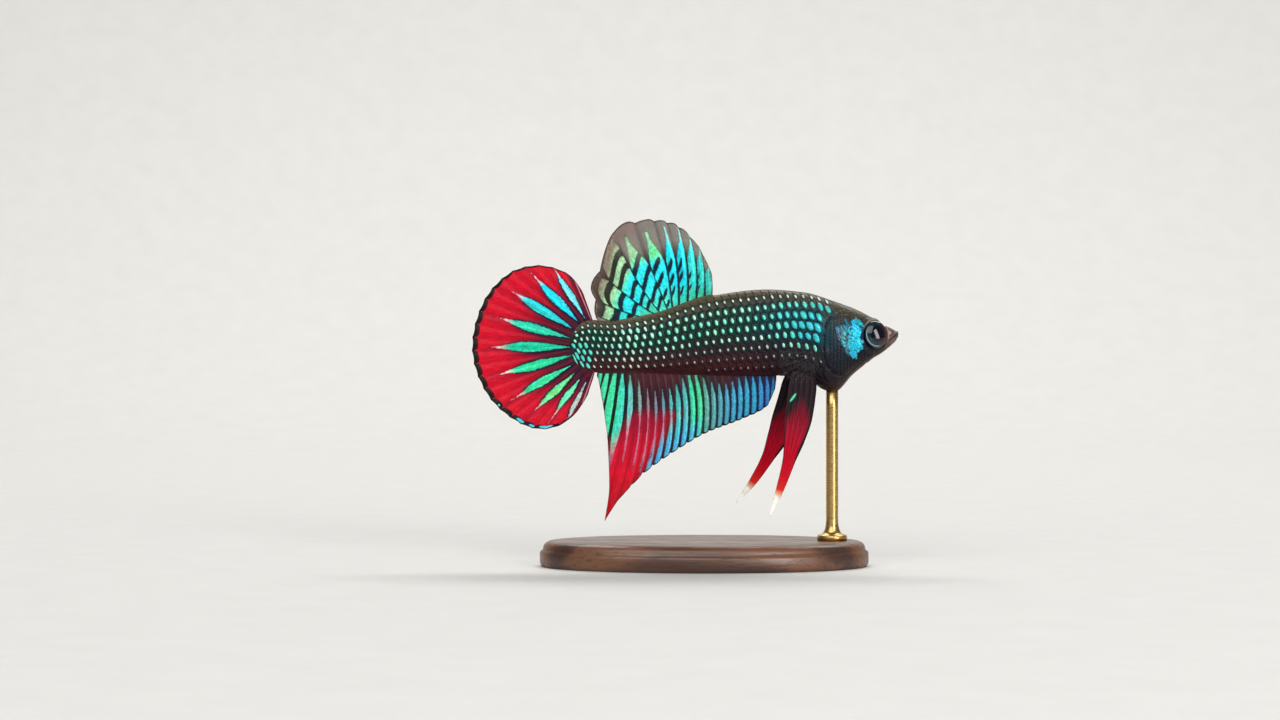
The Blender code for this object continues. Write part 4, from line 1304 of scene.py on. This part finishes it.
def anal_numbers(u, v):
    """Paint numbers of the anal fin: stripes and the crimson field."""
    sheet = anal_fin_sheet(u, v)
    back, height = sheet[..., 0], sheet[..., 1]
    length = anal_sweep(u, v, 1.0)[2]
    ray = u * ANAL_RAYS
    pitch = sideways_step(anal_fin_sheet, u, v)[0] / (2 * SIDE_STEP) / ANAL_RAYS
    from_web = np.abs(ray % 1 - 0.5)
    uneven = 0.35 * np.sin(2.1 * np.floor(ray) + 0.5) * fade(0, 0.25, 0.5 - from_web)
    below_upper = -10.5 - height + uneven
    behind_lower = (back - 31.0 + (height + 11.0) * 0.623) * 0.85
    ahead_rear = (37.6 + (-11.0 - height) * 0.72 - back) * 0.8
    crimson = np.minimum(np.minimum(below_upper, behind_lower), ahead_rear)
    from_start = v * length - smooth(STRIPE_START, u) - 0.4
    half = 0.29 * (0.3 + 0.7 * fade(-0.2, 2.4, from_start)) * (1 - 0.58 * fade(-0.9, 1.6, crimson))
    in_green = fade(0.85, 0.88, u) + hump(u - 0.48, 0.05)
    half = half + 0.1 * in_green * (1 - fade(0, 2, from_start)) + 0.07 * fade(0.85, 0.9, u)
    half = half * (1 - 0.42 * fade(0.59, 0.63, u) * (1 - fade(0.78, 0.8, u)) * (1 - fade(0.55, 0.8, v)))
    pinched = (half - from_web) * pitch
    ended = np.where(crimson > 0, (height + 17.6 + 2 * uneven) * 0.05, 5.0)
    mark = np.minimum(np.minimum(pinched, from_start * 0.5), ended)
    return {"across": u, "down": v, "mark": mark, "red": crimson, "edge": (1 - v) * length, "ray": ray,
            "height": height, "start": from_start}


print("numbers kept on the anal fin:", list(anal_numbers(np.array([0.5]), np.array([0.5]))))

# %% [markdown]
# ## Finish of the anal fin
# The black ground turns maroon near the belly and crimson in the rear lower part, as layers of
# pigment lie over each other in the real web. The stripes turn pink over the crimson, and bluer low
# down, past the middle of the fin.

# %% Anal fin finish and mesh
anal_finish, w, shader = new_finish("banded_anal_web", shine=0.12, coat=0.04, coat_blur=0.15)
black = w.ramp("across", ((0.0, 10, 28, 66), (0.3, 10, 24, 44), (0.44, 8, 38, 32), (0.56, 12, 26, 36),
                          (0.62, 46, 20, 32), (0.76, 48, 18, 30), (0.83, 14, 24, 26), (1.0, 6, 30, 26)))
maroon_share = w.levels("across", ((0.16, 0.1), (0.3, 0.9), (0.42, 0.3), (0.52, 0.5), (0.6, 1.0),
                                   (0.78, 1.0), (0.86, 0.1)))
root_fade = w.times(w.fade("height", -8.0, -5.6), maroon_share)
field = w.mix(root_fade, black, paint(66, 28, 34))
crimson_color = w.ramp(w.fade("height", -25.0, -11.0),
                       ((0.0, 176, 14, 30), (0.4, 206, 8, 38), (0.8, 190, 4, 40), (1.0, 140, 6, 40)))
fold = w.folds("ray")
crimson_color = w.mix(w.fade(fold, 0.2, 1.0, 0.0, 0.4), crimson_color, paint(120, 0, 26))
field = w.mix(w.fade("red", -1.0, 1.1), field, crimson_color)
stripe = w.ramp("across", ((0.02, 36, 112, 160), (0.07, 58, 126, 198), (0.14, 52, 154, 196),
                           (0.24, 62, 160, 196), (0.33, 78, 152, 172), (0.42, 92, 158, 150),
                           (0.455, 70, 206, 150), (0.5, 56, 208, 156), (0.54, 84, 170, 176),
                           (0.6, 64, 190, 182), (0.66, 104, 150, 168), (0.74, 150, 124, 138),
                           (0.8, 120, 180, 168), (0.84, 70, 206, 202), (0.88, 60, 216, 156),
                           (0.98, 84, 228, 180)))
low_blue = w.times(w.fade("down", 0.62, 0.9), w.fade(w.apart("across", 0.6), 0.08, 0.2, 0.85, 0.0))
stripe = w.coats(stripe, (low_blue, 70, 168, 216), (w.fade("red", -0.5, 1.4), 214, 112, 140))
pale_start = w.times(w.fade("start", 0.0, 2.2, 0.75, 0.0), root_fade)
stripe = w.mix(pale_start, stripe, paint(110, 78, 80))
paint_fin(w, shader, {"Field": field, "Bright": stripe, "Outline": paint(8, 20, 30),
                      "Margin": paint(10, 14, 26), "Outline Width": -0.02, "Margin Width": 0.2,
                      "Wobble": 0.1, "Along": "down"})
fin_sheet("anal_fin", anal_fin_sheet, ANAL_RAYS, 12, 76, anal_numbers, anal_finish)

# %% [markdown]
# ## Dorsal fin
# The back fin is a short fan of eleven webs. The front ones are upright green and cyan stripes with
# a few dark dots. Further back the rays lean over, and slanting dark bars cut the webs into bright
# cells. The top is thin, smoky and half clear.

# %% Dorsal fin shape
DORSAL_FRONT = (26.1, 5.2)
DORSAL_REAR = (39.6, 1.2)
DORSAL_WEBS = 11
DORSAL_ROOT = (0.0, 0.08, 0.17, 0.26, 0.345, 0.41, 0.447, 0.517, 0.56, 0.66, 0.85, 1.0)
DORSAL_TIP_BACK = (26.25, 27.5, 29.2, 30.8, 32.4, 34.2, 36.9, 39.8, 41.8, 42.4, 42.4, 41.7)
DORSAL_TIP_HEIGHT = (9.2, 11.8, 14.05, 15.4, 16.0, 16.25, 16.0, 14.8, 9.3, 5.3, 3.0, 2.1)
DORSAL_BOW = (-0.03, -0.03, -0.055, -0.055, -0.045, -0.03, 0.01, 0.05, 0.04, 0.03, 0.03, 0.0)
DORSAL_LOBE = (0.01, 0.025, 0.025, 0.025, 0.02, 0.025, 0.03, 0.005, 0.1, 0.03, 0.02)


def by_ray(values):
    """The same values as points of a curve over u, one for each ray."""
    return tuple((ray / DORSAL_WEBS, value) for ray, value in enumerate(values))


def dorsal_ray(u):
    """Ray number at a share of the way along the fin."""
    return u * DORSAL_WEBS


def dorsal_sweep(u, v, reach):
    """Places back and height on the dorsal fin, and the length of the ray."""
    return sweep_fin(DORSAL_FRONT, DORSAL_REAR, by_ray(DORSAL_TIP_BACK), by_ray(DORSAL_TIP_HEIGHT),
                     by_ray(DORSAL_BOW), u, v, reach, smooth(by_ray(DORSAL_ROOT), u))


def dorsal_reach(u):
    """Length of the margin: every web ends in a small lobe that leans forward."""
    web = np.clip(np.floor(dorsal_ray(u)).astype(int), 0, DORSAL_WEBS - 1)
    in_web = dorsal_ray(u) - web
    lobe = np.array(DORSAL_LOBE)[web]
    peak = np.where(web < 7, 0.3, 0.6)
    rounded = np.where(in_web < peak, in_web / peak, (1 - in_web) / (1 - peak))
    return 1 + lobe * np.sin(rounded * math.pi / 2)


def dorsal_fin_sheet(u, v):
    """Middle sheet of the dorsal fin."""
    back, height, _ = dorsal_sweep(u, v, dorsal_reach(u))
    wave = 0.5 * np.sin(4.2 * smooth(by_ray(DORSAL_ROOT), u) + 2.4) * v * v + pleat(dorsal_ray(u), v, 0.09)
    return np.stack((back, height, wave), -1)


print("dorsal webs:", DORSAL_WEBS, "and highest tip:", max(DORSAL_TIP_HEIGHT), "mm")

# %% [markdown]
# ## Marks of the dorsal fin
# Dark bars cross the bright webs, and no two webs are alike. Their places are a short list for each
# web, in millimetres from the root. The slant of the bars, the lobes and the smoky top come from a few
# values for each web, which is less work than drawing each cell.

# %% Dorsal fin marks
# For each web from the front: how far up it is bright and where across it that band ends, then its
# dark bars: how far they slant, where across they sit, how wide, how thick, and how far from the root
CELL_TOP = (0.98, 0.98, 0.98, 0.97, 0.93, 0.88, 0.88, 0.98, 0.98, 0.97, 0.6)
CELL_LEAN = (0.35, 0.3, 0.16, 0.15, 0.4, 0.62, 0.58, 0.5, 0.5, 0.5, 0.5)
BAR_SLANT = (1.2, 1.2, 1.2, 1.8, 1.7, 1.15, 1.2, 0.66, 0.75, 1.2, 1.2)
BAR_MIDDLE = (0.5, 0.8, 0.78, 0.72, 0.68, 0.66, 0.5, 0.5, 0.5, 0.5, 0.5)
BAR_SPAN = (0.0, 0.03, 0.06, 0.1, 0.13, 0.2, 0.6, 0.6, 0.6, 0.6, 0.6)
BAR_HALF = (0.1, 0.07, 0.1, 0.12, 0.13, 0.15, 0.13, 0.15, 0.16, 0.22, 0.22)
BARS = ((), (2.3, 3.8), (2.7, 4.3), (2.4, 4.35, 5.85), (2.7, 4.3, 6.2), (1.2, 2.6, 4.7, 6.7),
        (1.6, 3.1, 5.4, 8.1), (2.2, 3.5, 5.25, 7.7, 9.6), (2.75, 4.7, 6.7, 8.5), (1.4, 3.3, 5.5), ())


def dorsal_numbers(u, v):
    """Paint numbers of the dorsal fin: bright webs, dark bars and smoke."""
    sheet = dorsal_fin_sheet(u, v)
    back, height = sheet[..., 0], sheet[..., 1]
    length = dorsal_sweep(u, v, 1.0)[2]
    ray = dorsal_ray(u)
    web = np.minimum(np.floor(ray).astype(int), DORSAL_WEBS - 1)
    in_web = ray - web
    run, after, before = sideways_step(dorsal_fin_sheet, u, v)
    pitch = run / (dorsal_ray(after) - dorsal_ray(before))
    tables = (CELL_TOP, CELL_LEAN, BAR_SLANT, BAR_MIDDLE, BAR_SPAN, BAR_HALF)
    top, lean, slant, middle, span, thick = [np.array(table, float)[web] for table in tables]
    narrowed = np.where(web < 7, fade(0.55, 0.94, v / top), 0.35 * fade(0.8, 1.0, v / top))
    band_middle = 0.5 + (lean - 0.5) * narrowed
    gap = np.where(web < 5, 0.17, 0.09) * (1 - narrowed)
    band = (0.5 - 0.42 * narrowed - np.abs(in_web - band_middle)) * pitch - gap
    mark = np.minimum(band, (top - v) * length * 0.5)
    for number, bars in enumerate(BARS):
        for start in bars:
            from_bar = (v * length + slant * pitch * (in_web - middle) - start) / np.hypot(1, slant)
            beside = np.maximum(np.abs(in_web - middle) - span, 0) * pitch
            bar = np.hypot(from_bar, beside) - thick - 0.025 * start
            mark = np.where(web == number, np.minimum(mark, bar), mark)
    smoke = v / top * (1 - 0.28 * fade(6.7, 7.5, ray))
    return {"across": u, "up": v, "mark": mark, "edge": (1 - v) * length, "smoke": smoke, "ray": ray,
            "narrow": narrowed, "faded": back + 0.5 * np.maximum(height - 5.0, 0)}


print("dark bars:", sum(len(bars) for bars in BARS))

# %% [markdown]
# ## Finish of the dorsal fin
# The cells go from green at the root to cyan higher up, and get pale near the top. Between them the
# web is nearly black low down and a half-clear smoke at the top. Only the smoke lets light through, so
# the cells stay solid.

# %% Dorsal fin finish and mesh
dorsal_finish, w, shader = new_finish("checkered_dorsal_web", shine=0.14, coat=0.04, coat_blur=0.15)
low = w.ramp("across", ((0.04, 54, 176, 134), (0.22, 46, 186, 146), (0.4, 60, 206, 186),
                        (0.55, 70, 220, 200), (0.72, 64, 200, 160), (0.95, 90, 190, 150)))
high = w.ramp("across", ((0.04, 56, 180, 164), (0.13, 44, 194, 184), (0.22, 50, 212, 206),
                         (0.27, 50, 214, 212), (0.31, 14, 208, 226), (0.4, 26, 222, 240),
                         (0.6, 44, 228, 240), (0.8, 40, 222, 226), (0.9, 60, 210, 180)))
cell = w.mix(w.fade("up", 0.1, 0.34), low, high)
cell = w.coats(cell, (w.times(w.fade("up", 0.5, 0.64), w.fade("across", 0.44, 0.47)), 110, 232, 162),
               (w.fade("narrow", 0.6, 1.0, 0.0, 0.6), 170, 208, 186))
rearward = w.fade("faded", 39.2, 40.8)
cell = w.mix(rearward, cell, paint(156, 204, 160))
brown = w.times(w.fade("edge", 1.0, 3.0, 1.0, 0.0), w.fade("faded", 40.6, 42.4))
cell = w.mix(w.times(brown, 0.85), cell, paint(128, 92, 86))
smoky = w.fade("smoke", 0.56, 0.86)
ray_line = w.folds("ray")
smoke_color = w.mix(w.fade(ray_line, 0.5, 1.0), paint(112, 106, 94), paint(74, 64, 56))
smoke_color = w.mix(w.times(brown, 0.7), smoke_color, paint(112, 74, 68))
bar_color = w.mix(rearward, paint(4, 30, 44), paint(34, 38, 28))
between = w.mix(smoky, bar_color, smoke_color)
painted = paint_fin(w, shader, {"Field": between, "Bright": cell, "Outline": bar_color,
                                "Margin": paint(36, 42, 46), "Outline Width": -0.02,
                                "Margin Width": 0.12, "Wobble": 0.12, "Along": "up"})
clear_web = w.times(smoky, w.less(1.0, painted["Bright Mask"]))
clear_web = w.times(clear_web, w.fade("edge", 0.1, 0.3))
w.feed(shader["Alpha"], w.less(1.0, w.times(clear_web, 0.34)))
fin_sheet("dorsal_fin", dorsal_fin_sheet, DORSAL_WEBS, 24, 90, dorsal_numbers, dorsal_finish)

# %% [markdown]
# ## Belly fins
# The two long belly fins are narrow blades. They are black at the root, crimson along most of their
# length with a dark edge at the front and the rear, and end in a thin white tip. The right one has a
# small mint fleck near its rear edge, which makes the pair look natural.

# %% Belly fins
BELLY_FIN_RIGHT = ((13.4, -4.6, -1.35), (13.7, -11.5, -2.5), (15.6, -18.6, -3.1), (18.2, -24.75, -3.3))
BELLY_FIN_LEFT = ((13.9, -4.6, 1.35), (15.2, -12.0, 2.6), (18.4, -18.6, 3.5), (22.5, -23.3, 4.2))
BELLY_FIN_HALF = ((0.0, 1.5), (0.12, 1.95), (0.3, 1.9), (0.45, 1.5), (0.62, 0.8), (0.8, 0.5), (1.0, 0.12))
BELLY_RAYS = 5
FLECK_ACROSS, FLECK_DOWN = 0.8, 0.19
FLECK_HALF_ACROSS, FLECK_HALF_DOWN = 0.05, 0.032
FLECK_LEAN = 3.0


def bezier(points, t):
    """Places on the cubic curve with these four control points."""
    weights = ((1 - t) ** 3, 3 * t * (1 - t) ** 2, 3 * t * t * (1 - t), t ** 3)
    return sum(w[..., None] * np.array(p) for w, p in zip(weights, points))


def belly_fin_sheet(line):
    """Middle sheet of a belly fin: a blade along one curve."""
    def middle(u, v):
        ahead = bezier(line, np.minimum(v + 0.01, 1)) - bezier(line, np.maximum(v - 0.01, 0))
        across = unit(np.stack((-ahead[..., 1], ahead[..., 0], 0 * v), -1))
        swing = np.stack((0 * u, 0 * u, pleat(u * BELLY_RAYS, v, 0.09) * fade(0, 0.4, 1 - v)), -1)
        return bezier(line, v) + across * (smooth(BELLY_FIN_HALF, v) * (2 * u - 1))[..., None] + swing
    return middle


def belly_numbers(flecked):
    """Paint numbers of one belly fin, with or without the fleck."""
    def numbers(u, v):
        half = smooth(BELLY_FIN_HALF, v)
        below = v - FLECK_DOWN
        beside = u - FLECK_ACROSS - FLECK_LEAN * below
        from_fleck = np.hypot(beside / FLECK_HALF_ACROSS, below / FLECK_HALF_DOWN)
        return {"down": v, "across": u, "edge": half * (1 - np.abs(2 * u - 1)), "ray": u * BELLY_RAYS,
                "fleck": (from_fleck < 1.3) * (1.3 - from_fleck) * flecked}
    return numbers


belly_finish, w, shader = new_finish("crimson_belly_web", shine=0.08, coat=0.02, coat_blur=0.15)
arch = w.plus("down", w.times(w.apart("across", 0.45), -0.3))
red = w.ramp("down", ((0.0, 44, 24, 32), (0.3, 108, 2, 26), (0.5, 166, 2, 34), (0.72, 198, 12, 34),
                      (0.81, 206, 40, 30), (0.84, 236, 170, 130), (0.87, 255, 255, 246)))
fold = w.folds("ray")
red = w.mix(w.fade(fold, 0.3, 1.0, 0.0, 0.16), red, paint(84, 0, 22))
root = w.mix(w.fade(fold, -0.4, 0.9), paint(36, 20, 27), paint(20, 14, 21))
field = w.mix(w.fade(arch, 0.14, 0.26), root, red)
field = w.mix(w.fade("fleck", 0.2, 0.5), field, paint(74, 208, 150))
edge_width = w.times(w.fade("down", 0.45, 0.72, 1.0, 0.0), w.fade("across", 0.3, 0.7, 0.34, 0.16))
paint_fin(w, shader, {"Field": field, "Bright": field, "Margin": paint(24, 14, 20), "Mark": -5.0,
                      "Margin Width": edge_width, "Wobble": 0.12, "Along": "down"})
for word, line in (("right", BELLY_FIN_RIGHT), ("left", BELLY_FIN_LEFT)):
    fin_sheet(f"belly_fin_{word}", belly_fin_sheet(line), BELLY_RAYS, 12, 120,
              belly_numbers(word == "right"), belly_finish)

# %% [markdown]
# ## Breast fins
# The small fins behind the gill covers are clear as glass in life, with fine rays that hardly show,
# and a fish at rest fans the water with them. They are thin sheets with a very low opacity.

# %% Breast fins
BREAST_FIN_OUT = math.radians(34)
BREAST_FIN_TOP = math.radians(26)
BREAST_FIN_BOTTOM = math.radians(-68)
BREAST_FIN_REACH = ((0.0, 4.6), (0.35, 6.9), (0.6, 6.8), (1.0, 4.2))
BREAST_FIN_INNER = 0.5
BREAST_RAYS = 11


def breast_fin_sheet(side):
    """Middle sheet of a breast fin: a small fan, swung out from the flank."""
    def middle(u, v):
        angle = BREAST_FIN_TOP + (BREAST_FIN_BOTTOM - BREAST_FIN_TOP) * u
        reach = smooth(BREAST_FIN_REACH, u) * scallop(u * BREAST_RAYS, 0.03)
        r = BREAST_FIN_INNER + (reach - BREAST_FIN_INNER) * v
        flat = r * np.cos(angle)
        sweep = BREAST_FIN_OUT * (1 - 0.35 * v)
        out = BREAST_FIN_AT[2] + 0.35 + flat * np.sin(sweep) + pleat(u * BREAST_RAYS, v, 0.05)
        back = BREAST_FIN_AT[0] + flat * np.cos(sweep)
        return np.stack((back, BREAST_FIN_AT[1] + r * np.sin(angle), side * out), -1)
    return middle


def breast_numbers(u, v):
    """Paint numbers of a breast fin."""
    return {"down": v, "ray": u * BREAST_RAYS}


clear_finish, w, shader = new_finish("clear_breast_web", shine=0.12)
ray_line = w.folds("ray")
on_ray = w.fade(ray_line, 0.5, 1.0)
web = w.use(mottle, {"Color": paint(72, 68, 66), "Patch Scale": 900.0, "Strength": 0.2})
w.feed(shader["Base Color"], w.mix(on_ray, web["Color"], paint(96, 92, 88)))
w.feed(shader["Roughness"], w.fade(web["Height"], 0.3, 0.7, 0.2, 0.36))
w.feed(shader["Alpha"], w.plus(0.03, w.times(on_ray, w.fade("down", 0.3, 1.0, 0.1, 0.03))))
for word, side in (("right", -1), ("left", 1)):
    fin_sheet(f"breast_fin_{word}", breast_fin_sheet(side), BREAST_RAYS, 8, 30, breast_numbers,
              clear_finish)

# %% [markdown]
# ## The stand
# A small oval of dark oiled wood with a turned edge carries a brushed brass rod with a round foot. A
# workshop would rout the edge and turn the foot on a lathe. Both are rings of points round a profile.

# %% Stand finishes
wood_finish, w, shader = new_finish("oiled_dark_wood", coat=0.25, coat_blur=0.25)
spot = w.node("TexCoord", {}, output="Object")
stretched = w.node("Mapping", {"Vector": spot, "Scale": (0.12, 1.0, 1.0)})
warp = w.noise(220.0, 3.0, stretched)
rings_at = w.plus(w.times(w.node("SeparateXYZ", {0: stretched}, output=1), 900.0), w.times(warp, 9.0))
ring_wave = w.fade(w.math("SINE", rings_at), -1.0, 1.0)
pores = w.noise(2400.0, 2.0, stretched)
wood = w.ramp(ring_wave, ((0.0, 62, 36, 24), (0.6, 88, 54, 34), (1.0, 106, 68, 44)))
wood = w.mix(w.fade(pores, 0.55, 0.72, 0.0, 0.6), wood, paint(34, 20, 14))
grain_height = w.plus(ring_wave, w.times(pores, -1.5))
w.surface(shader, wood, w.fade(pores, 0.3, 0.7, 0.34, 0.52), grain_height, 0.25, 0.0001)

brass_finish, w, shader = new_finish("brushed_brass", metal=1.0)
spot = w.node("TexCoord", {}, output="Object")
brushed = w.noise(900.0, 3.0, w.node("Mapping", {"Vector": spot, "Scale": (1.0, 1.0, 9.0)}))
brass = w.mix(brushed, paint(176, 140, 84), paint(206, 172, 112))
w.surface(shader, brass, w.fade(brushed, 0.3, 0.7, 0.24, 0.42), brushed, 0.15, 0.00005)
print("finishes:", wood_finish.name, brass_finish.name)

# %% [markdown]
# ## Pieces of the stand
# A router and a lathe leave the same profile all the way round. So the base is a list of insets and
# heights, swept round an oval, and the rod is a list of radii and heights, swept round a circle.

# %% Stand pieces
BASE_EDGE = ((0.9, 0.0), (0.35, 0.05), (0.1, 0.28), (0.0, 0.6), (0.0, 1.9), (0.1, 2.15), (0.42, 2.35),
             (0.46, 2.6), (0.55, 2.95), (0.85, 3.3), (1.3, 3.52), (1.9, 3.6))
BASE_AROUND = 160
ROD_BACK = 9.3
ROD_RADIUS = 0.85
ROD_INTO_THROAT = 0.6
ROD_PROFILE = ((1.95, 3.6), (2.1, 3.68), (2.1, 4.2), (2.0, 4.36), (1.55, 4.5), (1.3, 4.62), (1.16, 4.85),
               (1.02, 5.2), (0.9, 5.75), (ROD_RADIUS, 6.6))
ROD_AROUND = 48


def turned(name, rings, finish, slot, replaced):
    """A closed shape through rings of points, each ring a list of places in the frame's millimetres."""
    rings = np.array(rings)
    points = np.stack((snout_x - rings[..., 0], rings[..., 2] - axis_z, rings[..., 1]), -1)
    count, around = points.shape[:2]
    faces, rows, columns = grid_faces(count, around, wrap=True)
    uv = np.stack((columns / around * 0.98 + 0.01, rows / (count - 1) * 0.6 + 0.01), -1).reshape(-1, 2)
    spin = circle(around)
    caps = [list(range(around))[::-1], list(range((count - 1) * around, count * around))]
    cap_uv = [np.stack((x + 0.15 * np.cos(spin), 0.8 + 0.15 * np.sin(spin)), -1) for x in (0.2, 0.6)]
    make_piece(name, points, faces.tolist() + caps, np.concatenate([uv] + cap_uv), {}, finish,
               replaced)


base_low, base_high = [np.array(corner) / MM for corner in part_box("stand_base")]
base_middle, base_half = (base_low + base_high) / 2, (base_high - base_low) / 2
spin = circle(BASE_AROUND)
base_rings = []
for inset, height in BASE_EDGE:
    base_rings.append(np.stack((base_middle[0] + (base_half[0] - inset) * np.cos(spin),
                                (base_half[1] - inset) * np.sin(spin), height + 0 * spin), -1))
for share in (0.8, 0.4):
    flat = base_rings[len(BASE_EDGE) - 1].copy()
    flat[:, 0] = base_middle[0] + (flat[:, 0] - base_middle[0]) * share
    flat[:, 1] *= share
    base_rings.append(flat)
turned("stand_base_oval", base_rings, wood_finish, "stand_wood", ("stand_base",))

rod_top = axis_z + float(body_point(ROD_BACK, math.pi)[1]) + ROD_INTO_THROAT
rod_rings = []
spin = circle(ROD_AROUND)
for radius, height in ROD_PROFILE + ((ROD_RADIUS, rod_top - 3), (ROD_RADIUS, rod_top)):
    rod_rings.append(np.stack((snout_x - ROD_BACK + radius * np.cos(spin), radius * np.sin(spin),
                               height + 0 * spin), -1))
turned("stand_rod_turned", rod_rings, brass_finish, "stand_metal", ("stand_rod",))

# %% [markdown]
# ## Floor and backdrop
# A sheet of pale paper lies under the stand and curves up behind it, as in a portrait studio, so no
# line crosses the view. It could be a plain floor and a wall, but their corner would show as a line.

# %% Floor and backdrop
PAPER_HALF = 900.0
PAPER_TURN = 260.0
PAPER_BACK = 420.0
PAPER_TOP = 1300.0
PAPER_STEPS = 12
PAPER_ROUGHNESS = 0.85
paper_finish, w, shader = new_finish("pale_paper")
fibres = w.noise(120.0, 4.0)
paper_color = w.mix(fibres, paint(206, 204, 200), paint(214, 212, 208))
w.surface(shader, paper_color, PAPER_ROUGHNESS, fibres, 0.05, 0.0004)
paper_line = [(y, 0.0) for y in (-PAPER_HALF, -300.0, PAPER_BACK - 200)]
for k in range(PAPER_STEPS + 1):
    turn = math.pi / 2 * k / PAPER_STEPS
    paper_line.append((PAPER_BACK + PAPER_TURN * math.sin(turn), PAPER_TURN * (1 - math.cos(turn))))
paper_line.append((PAPER_BACK + PAPER_TURN, PAPER_TOP))
paper_mesh = bpy.data.meshes.new("paper_sweep")
paper_points = [(x * MM, y * MM, z * MM) for y, z in paper_line for x in (-PAPER_HALF, PAPER_HALF)]
paper_faces = [(2 * k, 2 * k + 1, 2 * k + 3, 2 * k + 2) for k in range(len(paper_line) - 1)]
paper_mesh.from_pydata(paper_points, [], paper_faces)
paper_mesh.shade_smooth()
paper_mesh.materials.append(paper_finish)
paper = bpy.data.objects.new("paper_sweep", paper_mesh)
bpy.context.scene.collection.objects.link(paper)
print("paper sweep made with", len(paper_faces), "faces")

# %% [markdown]
# ## Lights
# A model maker lights a fish from the front and above, so that the scales glint. Each light is a soft
# rectangle turned towards the fish. The tall strip ahead of it is rolled a little, because its
# reflection is the highlight of the eye. A long strip behind draws the rim of the back, and the air
# gives a weak even light, so that no shadow is black.

# %% Lights
FISH_MIDDLE = Vector((-0.0064, 0.0, 0.029))


def soft_light(name, place, width, height, watts, roll=0.0):
    """A rectangular light that faces the fish, rolled about its own axis."""
    lamp = bpy.data.lights.new(name, "AREA")
    lamp.shape = "RECTANGLE"
    lamp.size, lamp.size_y = width, height
    lamp.energy = watts
    light = bpy.data.objects.new(name, lamp)
    light.location = place
    facing = (FISH_MIDDLE - Vector(place)).to_track_quat("-Z", "Y")
    light.rotation_euler = (facing @ Quaternion((0, 0, 1), roll)).to_euler()
    bpy.context.scene.collection.objects.link(light)


soft_light("front_softbox", (-0.4, -1.1, 1.0), 1.4, 1.1, 16.0)
soft_light("eye_strip", (0.41, -0.53, 0.07), 0.2, 0.78, 4.8, math.radians(20))
soft_light("back_strip", (0.1, 0.5, 0.8), 1.0, 0.2, 6.0)
world_light = bpy.data.worlds.new("studio_air")
world_light.use_nodes = True
air = world_light.node_tree.nodes["Background"].inputs
air["Color"].default_value = (0.82, 0.84, 0.86, 1)
air["Strength"].default_value = 0.2
bpy.context.scene.world = world_light
bpy.context.scene.view_settings.view_transform = "Standard"
print("lights:", [lamp.name for lamp in bpy.data.lights])

# %% [markdown]
# ## Camera
# A near camera would stretch what comes forward, such as the breast fin. The camera stands off by about
# twice the width of the view, level with the fish and square to its flank.

# %% Camera
VIEW_WIDTH = 0.1792
VIEW_DISTANCE = 0.35
VIEW_MIDDLE = (-0.00637, 0.02884)
camera_data = bpy.data.cameras.new("flank_view")
camera_data.sensor_width = 36
camera_data.lens = camera_data.sensor_width * VIEW_DISTANCE / VIEW_WIDTH
camera = bpy.data.objects.new("flank_view", camera_data)
camera.location = (VIEW_MIDDLE[0], -VIEW_DISTANCE, VIEW_MIDDLE[1])
camera.rotation_euler = (math.radians(90), 0, 0)
bpy.context.scene.collection.objects.link(camera)
bpy.context.scene.camera = camera
print("lens", round(camera_data.lens, 1), "mm")
